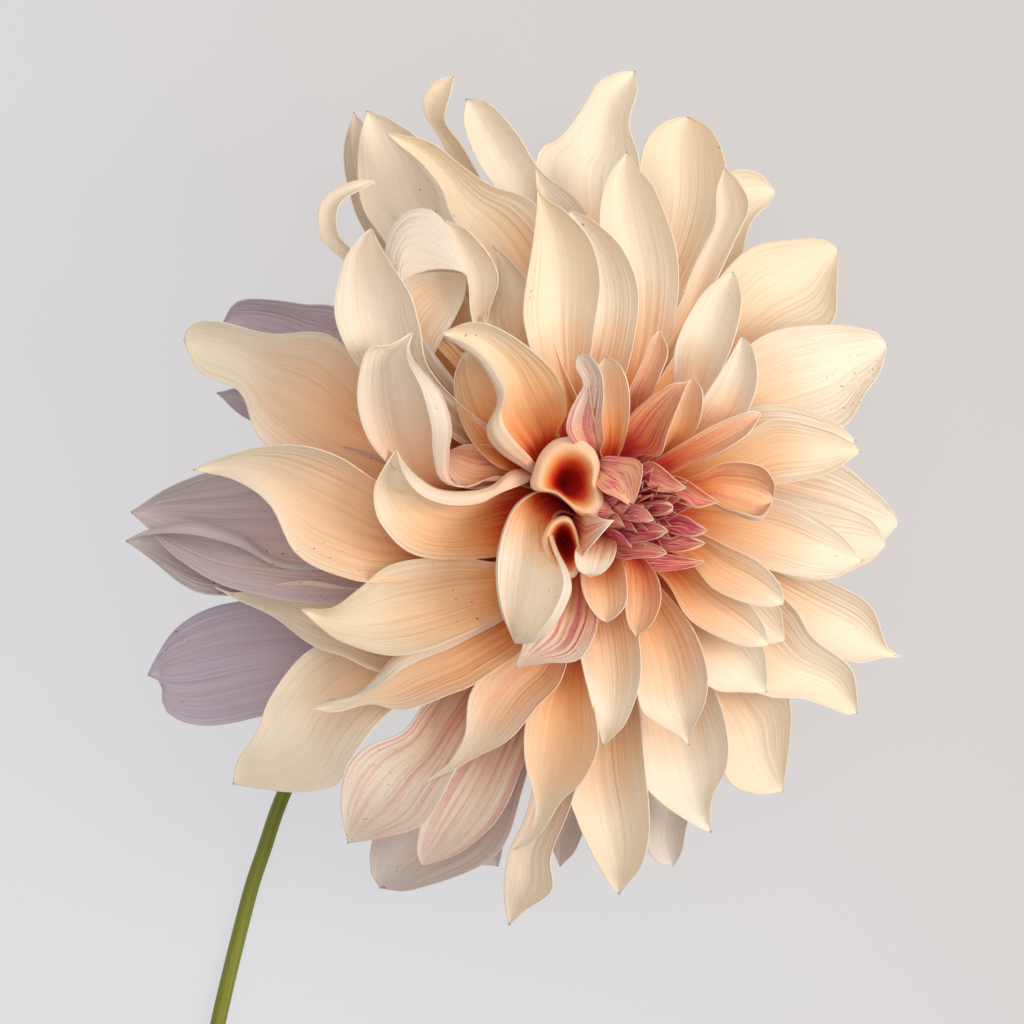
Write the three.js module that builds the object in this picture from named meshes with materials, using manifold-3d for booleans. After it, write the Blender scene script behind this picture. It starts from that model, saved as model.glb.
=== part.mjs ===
// A cut dahlia bloom on its bare stem, laid on a flat surface with its face up.
// Millimetres, +Z up. The origin is under the middle of the bounding box, on the surface.
// Plan places below are measured from the eye of the bloom, so that x grows to the right and
// y to the top of the bloom as it is seen from above; LIE moves the whole model to its origin.
import * as THREE from 'three';
import { mergeVertices } from 'three/addons/utils/BufferGeometryUtils.js';
import Module from 'manifold-3d';

const wasm = await Module();
wasm.setup();

// Driving dimensions
const LIE = [34.6, 58.1, 0];
const HEAD = new THREE.Vector3(-25, 2, 72); // middle of the receptacle
const AXIS = new THREE.Vector3(0.46, -0.03, 0.8874).normalize(); // from the stem out through the eye
const ROOT_RADIUS = 10; // petals start this far from HEAD, inside the core
const ROOT_CLIMB = 14; // and the innermost this much further along AXIS
// Turned outlines are [radius, height along AXIS from HEAD], from the axis out and back to it
const CORE = [[0, -5], [18.9, -5], [27, 5], [25.11, 15], [16.74, 22], [10.8, 24], [0, 24]];
const CORE_SIDES = 14;
const CONE_SIDES = 12;
const PETAL_THICK = 0.9;
const FLORET_THICK = 0.8;
const GAP = 0.3; // between pieces that meet
const SLIVER = 0.05; // detail smaller than this is smoothed out of a union
const GOLDEN = THREE.MathUtils.degToRad(137.508);
const STEM = { neck: 2.9, middle: 2.1, foot: 2.4, thinnest: 0.4, sides: 10, steps: 46 };
const STEM_ROUTE = [ // middle of the stem from the cup to the cut end
  [-33, 2.5, 56.6], [-41, 2, 41], [-53, -7, 25], [-71, -28, 11], [-90, -56, 3.6], [-103.5, -81, 2.2],
  [-109, -97.5, 2.2], [-114.3, -113, 2.2], [-122.7, -148, 2.2], [-129, -182, 2.3], [-134, -214, 2.4],
  [-137, -241, 2.4],
];
const SCALES = { top: -5.3, foot: -9.2, rim: 12, base: 10.8, count: 8, reach: 21, tip: -8.7, width: 13, start: 6 };
const CUP = [[0, -17], [3.4, -17], [5.4, -14], [11, -11], [11, -9.5], [0, -9.5]];
const BRACT = { count: 6, reach: 25, droop: -25, width: 10, start: 6, rise: -11.5, climb: -20, pitch: -30 };
// The eye: a low cone, and florets whose values go from the outermost to the middle one
const EYE_CONE = { foot: 24.3, neck: 5.7, waist: [8.5, 32.3], shoulder: [6.6, 43], top: 50 };
const EYE = {
  count: 34, seed: 7, start: 5, climbUp: 6, foot: 25.3,
  lean: 3.5, climb: [38, 82], reach: [13, 2.5], rise: [50, 58], pitch: [50, 80], width: [8.5, 5.525],
};

const SHEET = { // the usual form of a petal, in degrees, mm and shares of its length
  pitch: -20, cup: 20, left: 0, right: 0, lead: 0.42, arch: 0.42, base: 70, blunt: 2.1, point: 1.1,
  wide: 0.52, neck: 0.26, keel: 25, start: ROOT_RADIUS, climbUp: ROOT_CLIMB, rise: 0,
};
// The view from straight above that the margins are drawn on: its middle in plan, the height of the eye
// above the surface, the distance below the eye at which a unit of it is VIEW.unit mm, and its middle in units
const VIEW = { middle: [-37.24, 0.84], height: 1560, reach: 1500, unit: 0.28, centre: 512 };
const LAST_SPAN = 0.98; // beyond this the margins are too near to give the way across
const STEP = 0.01; // on both sides of a place on a middle line, to find its way
// How the form runs along and across every petal, in shares of its length and half width
const MARGIN = { from: 0.35, power: 1.5, openBy: 0.35, lessAtTip: 0.6, tipPower: 6 };
const CUP_FADE = 2.5;
const KEEL_POWER = 5;
const SECTION_STEPS = 25;

// The petals that show from above: tip, width at the neck, climb of the root in degrees, and what
// differs from SHEET. Their two margins are drawn from base to tip on a view from straight above, 1024
// units a side from its upper left, and the tip is a spot of that view with its height in mm.
const INNER = [
  [[530, 486, 119], 20, 60, { pitch: 0, cup: 105, base: 120, keel: -40, edges: [
    [[598, 478], [596, 455], [566, 437], [545, 446], [534, 466]],
    [[604, 497], [599, 513], [586, 518], [556, 492], [541, 490]],
  ] }],
  [[515, 643, 114], 20, 72, { pitch: -45, cup: 50, base: 100, left: 50, edges: [
    [[545, 495], [515, 520], [495, 560], [500, 605]],
    [[558, 520], [562, 560], [571, 582], [556, 622], [535, 641]],
  ] }],
  [[515, 668, 108], 26, 62, { pitch: -25, edges: [
    [[545, 560], [530, 620], [520, 655]], [[590, 560], [598, 615], [590, 645], [575, 661], [545, 663]],
  ] }],
  [[590, 577, 116], 14, 76, { pitch: -30, cup: 70, edges: [
    [[590, 530], [577, 553], [577, 569]], [[607, 530], [617, 550], [609, 571]],
  ] }],
  [[614, 521, 123], 12, 66, { pitch: 0, cup: 30, edges: [
    [[580, 512], [592, 517], [606, 521]], [[570, 530], [577, 556], [600, 540]],
  ] }],
  [[607, 622, 112], 17, 72, { cup: 30, edges: [
    [[580, 560], [583, 592], [596, 615]], [[622, 560], [627, 598], [618, 615]],
  ] }],
  [[637, 637, 108], 18, 70, { cup: 40, edges: [
    [[622, 558], [624, 590], [628, 622]], [[650, 565], [661, 596], [653, 622]],
  ] }],
  [[574, 358, 124], 18, 66, { cup: 50, edges: [
    [[566, 440], [570, 410], [579, 388], [582, 372]],
    [[610, 445], [624, 412], [626, 384], [606, 362], [585, 352]],
  ] }],
  [[441, 333, 120], 26, 64, { pitch: 0, cup: 30, left: 150, edges: [
    [[534, 475], [500, 452], [487, 430], [498, 398], [480, 362], [458, 345]],
    [[558, 440], [567, 410], [555, 373], [512, 336], [475, 322]],
  ] }],
  [[462, 372, 106], 26, 56, { cup: 30, edges: [
    [[534, 478], [491, 452], [474, 428], [464, 400]], [[550, 440], [520, 410], [500, 385], [478, 372]],
  ] }],
  [[660, 330, 110], 15, 66, { pitch: 10, cup: 30, edges: [
    [[617, 445], [626, 400], [642, 362], [651, 340]], [[648, 430], [650, 403], [660, 376], [668, 352]],
  ] }],
  [[688, 382, 114], 14, 62, { pitch: 10, cup: 40, edges: [
    [[603, 452], [618, 430], [640, 406], [668, 386]], [[635, 458], [659, 456], [668, 432], [680, 402]],
  ] }],
  [[693, 379, 110], 16, 60, { pitch: 10, cup: 40, edges: [
    [[652, 458], [667, 434], [677, 402], [686, 384]], [[675, 456], [697, 428], [703, 400], [700, 386]],
  ] }],
  [[742, 336, 98], 22, 56, { cup: 30, edges: [
    [[668, 446], [695, 410], [722, 370]], [[708, 455], [742, 420], [757, 385], [754, 352]],
  ] }],
  [[762, 413, 102], 16, 62, { cup: 30, edges: [
    [[680, 445], [715, 425], [748, 412]], [[690, 465], [720, 452], [748, 434]],
  ] }],
  [[773, 500, 98], 22, 60, { pitch: -30, cup: 50, right: 50, edges: [
    [[690, 478], [725, 463], [760, 466], [774, 482]], [[695, 502], [730, 512], [760, 520]],
  ] }],
  [[784, 604, 88], 20, 55, { edges: [
    [[690, 530], [727, 546], [759, 562], [780, 585]], [[680, 556], [715, 590], [760, 606]],
  ] }],
  [[770, 645, 84], 20, 52, { edges: [
    [[681, 556], [735, 592], [760, 618]], [[660, 575], [690, 620], [740, 645]],
  ] }],
];
const MIDDLE = [
  [[396, 450, 120], 30, 54, { pitch: 20, cup: 30, right: 60, edges: [
    [[548, 480], [505, 476], [462, 493], [425, 484], [405, 464]],
    [[550, 535], [500, 556], [420, 556], [382, 525], [374, 492], [384, 468]],
  ] }],
  [[413, 332, 112], 30, 46, { pitch: 25, cup: 30, left: 150, edges: [
    [[540, 500], [440, 487], [380, 455], [358, 405], [366, 352], [390, 345]],
    [[548, 488], [480, 486], [440, 440], [412, 375], [409, 350]],
  ] }],
  [[301, 609, 106], 30, 42, { pitch: -5, cup: 30, edges: [
    [[520, 560], [450, 557], [392, 565], [358, 590], [332, 608]],
    [[520, 600], [470, 632], [400, 655], [345, 643], [318, 625]],
  ] }],
  [[309, 708, 94], 30, 40, { pitch: -5, cup: 30, right: 190, edges: [
    [[520, 590], [452, 630], [400, 652], [378, 675], [358, 694], [330, 702]],
    [[540, 630], [480, 680], [450, 694], [405, 710], [370, 704], [335, 712]],
  ] }],
  [[427, 781, 86], 26, 36, { pitch: -20, cup: 40, edges: [
    [[535, 628], [492, 664], [470, 695], [465, 735], [450, 762]],
    [[566, 665], [536, 708], [508, 740], [476, 757], [451, 771]],
  ] }],
  [[513, 850, 74], 28, 40, { pitch: -30, cup: 45, edges: [
    [[565, 640], [534, 697], [525, 730], [526, 765], [535, 800], [533, 826], [524, 841]],
    [[586, 650], [593, 700], [598, 745], [583, 780], [562, 800], [547, 824], [532, 842]],
  ] }],
  [[603, 746, 88], 22, 50, { pitch: -30, edges: [
    [[572, 600], [580, 655], [592, 705]], [[630, 600], [641, 670], [628, 718], [614, 736]],
  ] }],
  [[689, 745, 80], 26, 46, { pitch: -30, cup: 30, edges: [
    [[622, 610], [634, 670], [641, 708], [658, 723], [678, 735]],
    [[680, 610], [705, 660], [706, 698], [694, 727]],
  ] }],
  [[766, 692, 74], 28, 42, { pitch: -30, edges: [
    [[690, 570], [740, 605], [762, 645], [767, 675]], [[650, 600], [680, 655], [712, 688], [742, 692]],
  ] }],
  [[785, 640, 78], 26, 46, { pitch: -30, edges: [
    [[700, 540], [750, 566], [778, 605]], [[680, 580], [715, 625], [755, 645]],
  ] }],
  [[538, 190, 106], 28, 46, { pitch: 30, cup: 40, edges: [
    [[545, 400], [528, 340], [524, 305], [540, 245], [541, 212]],
    [[588, 390], [592, 320], [599, 272], [575, 218], [555, 200]],
  ] }],
  [[572, 208, 92], 30, 42, { pitch: 10, cup: 30, edges: [
    [[580, 400], [590, 320], [592, 260], [580, 225]],
    [[618, 400], [634, 340], [638, 290], [622, 248], [592, 220]],
  ] }],
  [[627, 152, 84], 28, 36, { pitch: 0, cup: 30, edges: [
    [[605, 380], [612, 300], [600, 225], [607, 180]],
    [[655, 380], [676, 310], [676, 250], [655, 190], [640, 172]],
  ] }],
  [[733, 272, 86], 26, 44, { pitch: 0, cup: 30, edges: [
    [[665, 410], [676, 345], [698, 300], [718, 280]], [[692, 415], [726, 360], [741, 310], [739, 284]],
  ] }],
  [[402, 285, 98], 24, 48, { pitch: 0, cup: 75, edges: [
    [[520, 470], [440, 420], [412, 370], [400, 320]],
    [[535, 455], [470, 385], [461, 335], [469, 292], [455, 271], [428, 270]],
  ] }],
  [[498, 212, 92], 30, 46, { pitch: 10, cup: 40, edges: [
    [[540, 440], [505, 360], [499, 300], [490, 245]], [[590, 430], [560, 350], [545, 290], [522, 236]],
  ] }],
  [[405, 228, 92], 30, 40, { pitch: 20, cup: 40, edges: [
    [[510, 450], [440, 380], [404, 310], [391, 255]],
    [[540, 440], [490, 350], [477, 290], [464, 236], [435, 210]],
  ] }],
  [[424, 384, 100], 24, 50, { cup: 40, edges: [
    [[530, 485], [475, 462], [440, 435], [424, 405]], [[540, 470], [500, 445], [470, 412], [446, 391]],
  ] }],
  [[372, 228, 114], 28, 46, { pitch: 30, cup: 40, edges: [
    [[440, 430], [370, 380], [336, 320], [343, 265], [360, 238]],
    [[480, 420], [425, 360], [418, 310], [395, 262], [380, 238]],
  ] }],
  [[860, 452, 72], 30, 36, { pitch: -25, edges: [
    [[720, 450], [770, 420], [820, 428], [848, 440]], [[710, 500], [770, 486], [825, 474]],
  ] }],
  [[862, 560, 62], 30, 34, { pitch: -30, edges: [
    [[715, 500], [780, 500], [835, 530]], [[700, 540], [770, 570], [830, 578]],
  ] }],
];
const OUTER = [
  [[184, 340, 92], 40, 22, { pitch: -10, cup: 25, edges: [
    [[470, 440], [380, 385], [330, 336], [270, 334], [215, 321], [190, 326]],
    [[480, 510], [380, 490], [300, 468], [258, 435], [240, 392], [200, 372]],
  ] }],
  [[193, 470, 100], 36, 28, { pitch: -10, right: 40, edges: [
    [[490, 500], [400, 492], [340, 458], [300, 446], [255, 448], [215, 460]],
    [[500, 560], [390, 582], [335, 574], [295, 552], [270, 505], [235, 480]],
  ] }],
  [[215, 587, 88], 32, 24, { pitch: 0, edges: [
    [[480, 560], [400, 590], [352, 588], [310, 581], [274, 585], [235, 593]],
    [[490, 600], [400, 670], [340, 655], [310, 644], [274, 617], [238, 600]],
  ] }],
  [[131, 512, 76], 40, 12, { pitch: 0, edges: [
    [[480, 500], [360, 450], [280, 452], [215, 470], [168, 488]],
    [[470, 540], [350, 600], [240, 590], [180, 560], [150, 530]],
  ] }],
  [[126, 541, 76], 30, 16, { pitch: 0, right: 150, edges: [
    [[480, 530], [340, 560], [280, 560], [240, 535], [195, 523], [150, 530]],
    [[470, 560], [340, 600], [250, 596], [205, 594], [180, 583], [152, 560]],
  ] }],
  [[148, 675, 60], 44, 8, { pitch: 0, cup: 15, edges: [
    [[480, 560], [340, 600], [262, 600], [212, 608], [176, 629], [156, 658]],
    [[470, 600], [400, 680], [300, 705], [256, 717], [215, 725], [185, 722], [164, 708], [162, 684]],
  ] }],
  [[233, 784, 66], 42, 16, { pitch: -20, cup: 15, edges: [
    [[480, 570], [370, 630], [310, 650], [272, 695], [256, 734], [238, 760]],
    [[500, 620], [440, 675], [395, 707], [371, 731], [348, 764], [337, 785], [295, 792], [258, 788]],
  ] }],
  [[348, 843, 64], 34, 20, { pitch: -30, cup: 15, edges: [
    [[500, 620], [452, 672], [422, 707], [402, 732], [367, 747], [347, 770], [341, 805]],
    [[530, 640], [470, 740], [440, 800], [420, 826], [380, 838]],
  ] }],
  [[422, 866, 60], 30, 22, { pitch: -30, cup: 20, edges: [
    [[520, 620], [465, 730], [430, 790], [417, 845]], [[560, 660], [530, 745], [500, 815], [460, 852]],
  ] }],
  [[380, 888, 40], 36, 4, { pitch: -20, cup: 15, edges: [
    [[480, 650], [410, 780], [375, 835], [371, 870]], [[545, 680], [522, 790], [494, 856], [415, 889]],
  ] }],
  [[509, 925, 48], 26, 18, { pitch: -30, edges: [
    [[545, 680], [530, 800], [510, 850], [504, 890]],
    [[590, 720], [572, 800], [551, 855], [552, 890], [525, 910]],
  ] }],
  [[619, 894, 46], 30, 18, { pitch: -30, cup: 30, edges: [
    [[575, 650], [562, 760], [578, 822], [600, 868], [611, 885]],
    [[630, 660], [646, 780], [649, 830], [642, 864], [627, 884]],
  ] }],
  [[673, 866, 26], 28, 4, { pitch: -25, edges: [
    [[620, 680], [640, 780], [644, 835], [655, 860]], [[670, 680], [695, 780], [686, 828], [682, 852]],
  ] }],
  [[711, 832, 44], 32, 22, { pitch: -30, cup: 30, edges: [
    [[605, 610], [626, 700], [630, 745], [640, 778], [662, 803], [695, 825]],
    [[670, 610], [714, 690], [727, 735], [726, 768], [713, 795], [710, 816]],
  ] }],
  [[779, 790, 30], 32, 14, { pitch: -30, edges: [
    [[690, 600], [780, 690], [791, 722], [786, 768]], [[650, 640], [710, 735], [724, 780], [752, 793]],
  ] }],
  [[857, 713, 40], 34, 22, { pitch: -30, cup: 25, edges: [
    [[700, 540], [786, 600], [812, 637], [849, 666], [857, 694]],
    [[680, 600], [730, 675], [768, 696], [800, 698], [825, 706], [846, 714]],
  ] }],
  [[902, 658, 28], 30, 12, { pitch: -20, cup: 30, edges: [
    [[710, 530], [825, 580], [870, 606], [886, 645]], [[700, 570], [790, 630], [850, 661], [885, 657]],
  ] }],
  [[886, 545, 34], 34, 16, { pitch: -40, edges: [
    [[710, 480], [820, 500], [870, 520]], [[710, 540], [800, 580], [862, 565]],
  ] }],
  [[898, 524, 20], 34, 6, { pitch: -40, edges: [
    [[710, 450], [820, 455], [875, 492], [893, 513]], [[710, 520], [810, 560], [875, 545]],
  ] }],
  [[855, 440, 50], 32, 26, { pitch: -30, edges: [
    [[700, 430], [770, 405], [830, 420]], [[710, 470], [780, 470], [830, 460]],
  ] }],
  [[887, 345, 34], 38, 12, { pitch: -20, cup: 20, edges: [
    [[690, 400], [760, 338], [820, 325], [872, 331]],
    [[710, 450], [800, 440], [845, 425], [864, 395], [880, 372]],
  ] }],
  [[838, 252, 30], 40, 8, { pitch: -20, edges: [
    [[680, 330], [745, 250], [785, 239], [818, 239]], [[720, 390], [800, 340], [832, 325], [838, 285]],
  ] }],
  [[776, 192, 16], 26, -6, { pitch: -20, edges: [
    [[680, 260], [720, 180], [755, 172]], [[720, 300], [750, 225], [768, 205]],
  ] }],
  [[635, 71, 48], 36, 10, { pitch: -10, cup: 25, edges: [
    [[560, 300], [537, 159], [559, 137], [578, 108], [595, 82], [618, 72]],
    [[640, 290], [640, 170], [629, 125], [637, 92]],
  ] }],
  [[688, 117, 34], 34, 4, { pitch: 0, edges: [
    [[630, 280], [640, 165], [652, 133], [670, 120]], [[690, 290], [726, 210], [723, 155], [708, 127]],
  ] }],
  [[725, 168, 66], 28, 24, { pitch: 20, cup: 50, edges: [
    [[665, 330], [695, 265], [715, 225], [717, 190]], [[690, 330], [735, 240], [749, 205], [738, 181]],
  ] }],
  [[466, 99, 62], 34, 14, { pitch: 0, edges: [
    [[545, 320], [510, 215], [478, 162], [464, 125]],
    [[600, 300], [585, 212], [540, 170], [518, 135], [490, 104]],
  ] }],
  [[454, 76, 50], 24, 6, { pitch: 20, edges: [
    [[500, 300], [450, 160], [425, 115], [424, 96], [436, 81]],
    [[540, 300], [470, 160], [445, 122], [450, 96]],
  ] }],
  [[387, 133, 78], 40, 20, { pitch: 10, left: 140, edges: [
    [[570, 320], [560, 240], [530, 200], [492, 186], [462, 166], [430, 142]],
    [[540, 360], [480, 290], [445, 225], [438, 195], [420, 168], [398, 146]],
  ] }],
  [[367, 111, 58], 38, 8, { pitch: 10, edges: [
    [[450, 340], [388, 246], [363, 208], [358, 170], [360, 138]],
    [[520, 300], [450, 190], [425, 145], [390, 119]],
  ] }],
  [[354, 112, 50], 30, 4, { pitch: 10, edges: [
    [[450, 350], [370, 240], [349, 190], [344, 148]], [[480, 320], [400, 230], [385, 190], [375, 140]],
  ] }],
  [[377, 181, 92], 14, 30, { pitch: 10, edges: [
    [[440, 350], [345, 262], [320, 235], [322, 200], [350, 182]],
    [[450, 340], [352, 250], [337, 228], [340, 203], [360, 190]],
  ] }],
  [[443, 220, 106], 26, 44, { pitch: 30, cup: 60, edges: [
    [[520, 400], [476, 330], [468, 280], [455, 244]], [[530, 380], [488, 330], [498, 275], [470, 232]],
  ] }],
  [[222, 325, 56], 42, 2, { pitch: 0, edges: [
    [[480, 440], [360, 320], [300, 304], [252, 299], [233, 305]],
    [[470, 500], [330, 400], [290, 350], [245, 332]],
  ] }],
  [[217, 393, 56], 30, 2, { pitch: 0, edges: [
    [[480, 470], [330, 400], [260, 385]], [[470, 520], [320, 440], [250, 420]],
  ] }],
];
// Old petals at the back, which bend down and bear on the surface. REST_DIP is how far they would
// pass below it if it did not flatten them.
const REST_DIP = -8;
const REST_PITCH = -38;
const RESTING = [[44, -38], [52, 22], [24, 72], [-30, 88], [-86, 58], [-104, -4], [-78, -66], [-22, -84]];
const REST_WIDTH = 34;
const REST_CLIMB = -4;
// Petals between these and the ones above, by the golden angle round AXIS
const FILL = { count: 4, first: 20, reach: 84, rise: -34, lowest: 4, width: 34, climb: 2, pitch: -35 };

const rad = THREE.MathUtils.degToRad;
const clamp01 = (v) => Math.min(1, Math.max(0, v));
const ease = (v) => clamp01(v) ** 2 * (3 - 2 * clamp01(v));
const between = ([first, last], share) => first + (last - first) * share;
const vec = (p) => new THREE.Vector3(...p);

/** A closed solid from a list of points and of triangles. */
function solid(points, faces) {
  const geometry = new THREE.BufferGeometry();
  geometry.setAttribute('position', new THREE.Float32BufferAttribute(points.flatMap((p) => p.toArray()), 3));
  geometry.setIndex(faces.flat());
  return toManifold(geometry);
}

function toManifold(source) {
  const geometry = source.clone();
  geometry.deleteAttribute('normal');
  geometry.deleteAttribute('uv');
  const merged = mergeVertices(geometry, 1e-4);
  return new wasm.Manifold(new wasm.Mesh({
    numProp: 3,
    vertProperties: new Float32Array(merged.attributes.position.array),
    triVerts: new Uint32Array(merged.index.array),
  }));
}

function toGeometry(manifold) {
  const mesh = manifold.getMesh();
  const geometry = new THREE.BufferGeometry();
  geometry.setAttribute('position', new THREE.BufferAttribute(new Float32Array(mesh.vertProperties), 3));
  geometry.setIndex(new THREE.BufferAttribute(new Uint32Array(mesh.triVerts), 1));
  const flat = geometry.toNonIndexed();
  flat.computeVertexNormals();
  return flat;
}

/** A solid whose faces all turn the right way out, whichever way they were listed. */
function rightWayOut(points, faces) {
  const made = solid(points, faces);
  return made.volume() < 0 ? solid(points, faces.map(([a, b, c]) => [a, c, b])) : made;
}

/** The part of a vector that is square to a unit direction, as a unit vector. */
const squareTo = (v, direction) => v.clone().addScaledVector(direction, -v.dot(direction)).normalize();

/** The place at a height that shows at a spot of the view from above. */
function placed([x, y], z) {
  const scale = VIEW.reach / (VIEW.height - z) / VIEW.unit;
  const [east, north] = [(x - VIEW.centre) / scale, (VIEW.centre - y) / scale];
  return new THREE.Vector3(VIEW.middle[0] + east, VIEW.middle[1] + north, z);
}

/** The spot of the view from above where a place shows. */
function spotOf({ x, y, z }) {
  const scale = VIEW.reach / (VIEW.height - z) / VIEW.unit;
  return [VIEW.centre + (x - VIEW.middle[0]) * scale, VIEW.centre - (y - VIEW.middle[1]) * scale];
}

/** The cubic curve of a petal from the receptacle to the tip, and its side. */
function spine([tipPlace, , climb, own]) {
  const form = { ...SHEET, ...own };
  const tip = form.edges ? placed(tipPlace, tipPlace[2]) : vec(tipPlace);
  const radial = squareTo(tip.clone().sub(HEAD), AXIS);
  const e = rad(climb);
  const out = radial.clone().multiplyScalar(Math.cos(e)).addScaledVector(AXIS, Math.sin(e));
  const root = HEAD.clone().addScaledVector(out, form.start);
  root.addScaledVector(AXIS, form.rise + form.climbUp * Math.sin(e) ** 2);
  const length = tip.distanceTo(root);
  const heading = Math.atan2(tip.y - root.y, tip.x - root.x);
  const pitch = rad(form.pitch);
  const end = new THREE.Vector3(Math.cos(heading), Math.sin(heading), 0).multiplyScalar(Math.cos(pitch));
  end.z = Math.sin(pitch);
  const curve = new THREE.CubicBezierCurve3(
    root,
    root.clone().addScaledVector(out, form.lead * length),
    tip.clone().addScaledVector(end, -form.arch * length),
    tip,
  );
  return { curve, side: AXIS.clone().cross(radial), form };
}

/** Midrib of a petal of the usual outline, which grows from its neck and closes to its tip. */
function midrib(row) {
  const { curve, side, form } = spine(row);
  return (t) => {
    const way = curve.getTangent(t);
    const across = squareTo(side, way);
    const neck = form.neck + (1 - form.neck) * ease(t / form.wide);
    const v = clamp01((t - form.wide) / (1 - form.wide));
    const half = (row[1] / 2) * neck * Math.max(1e-3, (1 - v ** form.blunt) ** form.point);
    return { middle: curve.getPoint(t), across, face: way.clone().cross(across), half, form };
  };
}

/** Middle line of a petal between two drawn margins, whose heights are those of its cubic curve. */
function drawn(row) {
  const { curve, side, form } = spine(row);
  const height = (t) => curve.getPoint(clamp01(t)).z;
  const mean = (edge, k) => edge.reduce((sum, spot) => sum + spot[k], 0) / edge.length;
  const [one, other] = form.edges;
  const lean = (mean(one, 0) - mean(other, 0)) * side.x - (mean(one, 1) - mean(other, 1)) * side.y;
  const margins = (lean > 0 ? [one, other] : [other, one]).map((edge, k) => {
    const foot = curve.v0.clone().addScaledVector(side, (k ? -1 : 1) * (row[1] / 2) * form.neck);
    const spots = [spotOf(foot), ...edge, row[0].slice(0, 2)];
    const far = [0];
    for (let i = 1; i < spots.length; i += 1) {
      far.push(far[i - 1] + Math.hypot(spots[i][0] - spots[i - 1][0], spots[i][1] - spots[i - 1][1]));
    }
    const knots = spots.map((spot, i) => placed(spot, height(far[i] / far.at(-1))));
    return new THREE.CatmullRomCurve3(knots, false, 'catmullrom');
  });
  const middleAt = (t) => {
    const middle = margins[0].getPointAt(clamp01(t)).lerp(margins[1].getPointAt(clamp01(t)), 0.5);
    middle.z = height(t);
    return middle;
  };
  return (t) => {
    const [left, right] = margins.map((margin) => margin.getPointAt(Math.min(t, LAST_SPAN)));
    const over = left.sub(right);
    over.z = 0;
    const across = over.clone().normalize();
    const way = middleAt(t + STEP).sub(middleAt(t - STEP)).normalize();
    return { middle: middleAt(t), across, face: way.cross(across).normalize(), half: over.length() / 2, form };
  };
}

/** Half a section of a petal at t, whose slope turns with the cup, and more near a rolled margin. */
function halfSection(form, t, roll) {
  const fade = (1 - t) ** CUP_FADE;
  const cup = rad(form.base * fade + form.cup * (1 - fade) + form.keel * t ** KEEL_POWER);
  const open = ease(t / MARGIN.openBy) * (1 - MARGIN.lessAtTip * t ** MARGIN.tipPower);
  const path = [[0, 0]];
  for (let i = 0; i < SECTION_STEPS; i += 1) {
    const g = (i + 0.5) / SECTION_STEPS;
    const slope = cup * g + roll * clamp01((g - MARGIN.from) / (1 - MARGIN.from)) ** MARGIN.power * open;
    path.push([path[i][0] + Math.cos(slope) / SECTION_STEPS, path[i][1] + Math.sin(slope) / SECTION_STEPS]);
  }
  return path;
}

/** Section of a petal at t. A drawn one is as wide as its margins show it from above. */
function section({ form, half }, t, shares) {
  return shares.map((share) => {
    const path = halfSection(form, t, rad(share > 0 ? form.left : form.right));
    const reach = form.edges ? Math.max(...path.map(([x]) => x)) : 1;
    const [x, y] = path[Math.round(Math.abs(share) * SECTION_STEPS)];
    return [(Math.sign(share) * x * half) / reach, (y * half) / reach];
  });
}

/** A petal as a thin closed blade, on rings across the midrib, that ends in a short upright edge. */
function blade(row, rings, shares, thick) {
  const at = row[3].edges ? drawn(row) : midrib(row);
  const grid = rings.map((t) => {
    const cut = at(t);
    const place = ([x, y]) => cut.middle.clone().addScaledVector(cut.across, x).addScaledVector(cut.face, y);
    return section(cut, t, shares).map(place);
  });
  const tip = at(1);
  const n = shares.length;
  const rows = grid.length;
  const pick = (i, j) => grid[Math.min(rows - 1, Math.max(0, i))][Math.min(n - 1, Math.max(0, j))];
  const points = [];
  for (const sign of [1, -1]) {
    for (let i = 0; i < rows; i += 1) {
      for (let j = 0; j < n; j += 1) {
        const along = (i === rows - 1 ? tip.middle : pick(i + 1, j)).clone().sub(pick(i - 1, j));
        const over = pick(i, j + 1).clone().sub(pick(i, j - 1));
        const normal = along.cross(over).normalize();
        points.push(pick(i, j).clone().addScaledVector(normal, (sign * thick) / 2));
      }
    }
    points.push(tip.middle.clone().addScaledVector(tip.face, (sign * thick) / 2));
  }
  const half = rows * n + 1;
  points.forEach((p, k) => { p.z = Math.max(p.z, k < half ? thick : 0); });
  const id = (i, j, under) => i * n + j + (under ? half : 0);
  const faces = [];
  const quad = (a, b, c, d) => faces.push([a, b, c], [a, c, d]);
  for (let i = 0; i + 1 < rows; i += 1) {
    for (let j = 0; j + 1 < n; j += 1) {
      quad(id(i, j), id(i + 1, j), id(i + 1, j + 1), id(i, j + 1));
      faces.push([id(i, j, 1), id(i + 1, j + 1, 1), id(i + 1, j, 1)]);
      faces.push([id(i, j, 1), id(i, j + 1, 1), id(i + 1, j + 1, 1)]);
    }
    quad(id(i, 0), id(i, 0, 1), id(i + 1, 0, 1), id(i + 1, 0));
    quad(id(i, n - 1, 1), id(i, n - 1), id(i + 1, n - 1), id(i + 1, n - 1, 1));
  }
  const [over, under] = [half - 1, 2 * half - 1];
  for (let j = 0; j + 1 < n; j += 1) {
    quad(id(0, j, 1), id(0, j), id(0, j + 1), id(0, j + 1, 1));
    faces.push([id(rows - 1, j), over, id(rows - 1, j + 1)]);
    faces.push([id(rows - 1, j, 1), id(rows - 1, j + 1, 1), under]);
  }
  quad(id(rows - 1, 0), id(rows - 1, 0, 1), under, over);
  quad(id(rows - 1, n - 1, 1), id(rows - 1, n - 1), over, under);
  return rightWayOut(points, faces);
}

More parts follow.
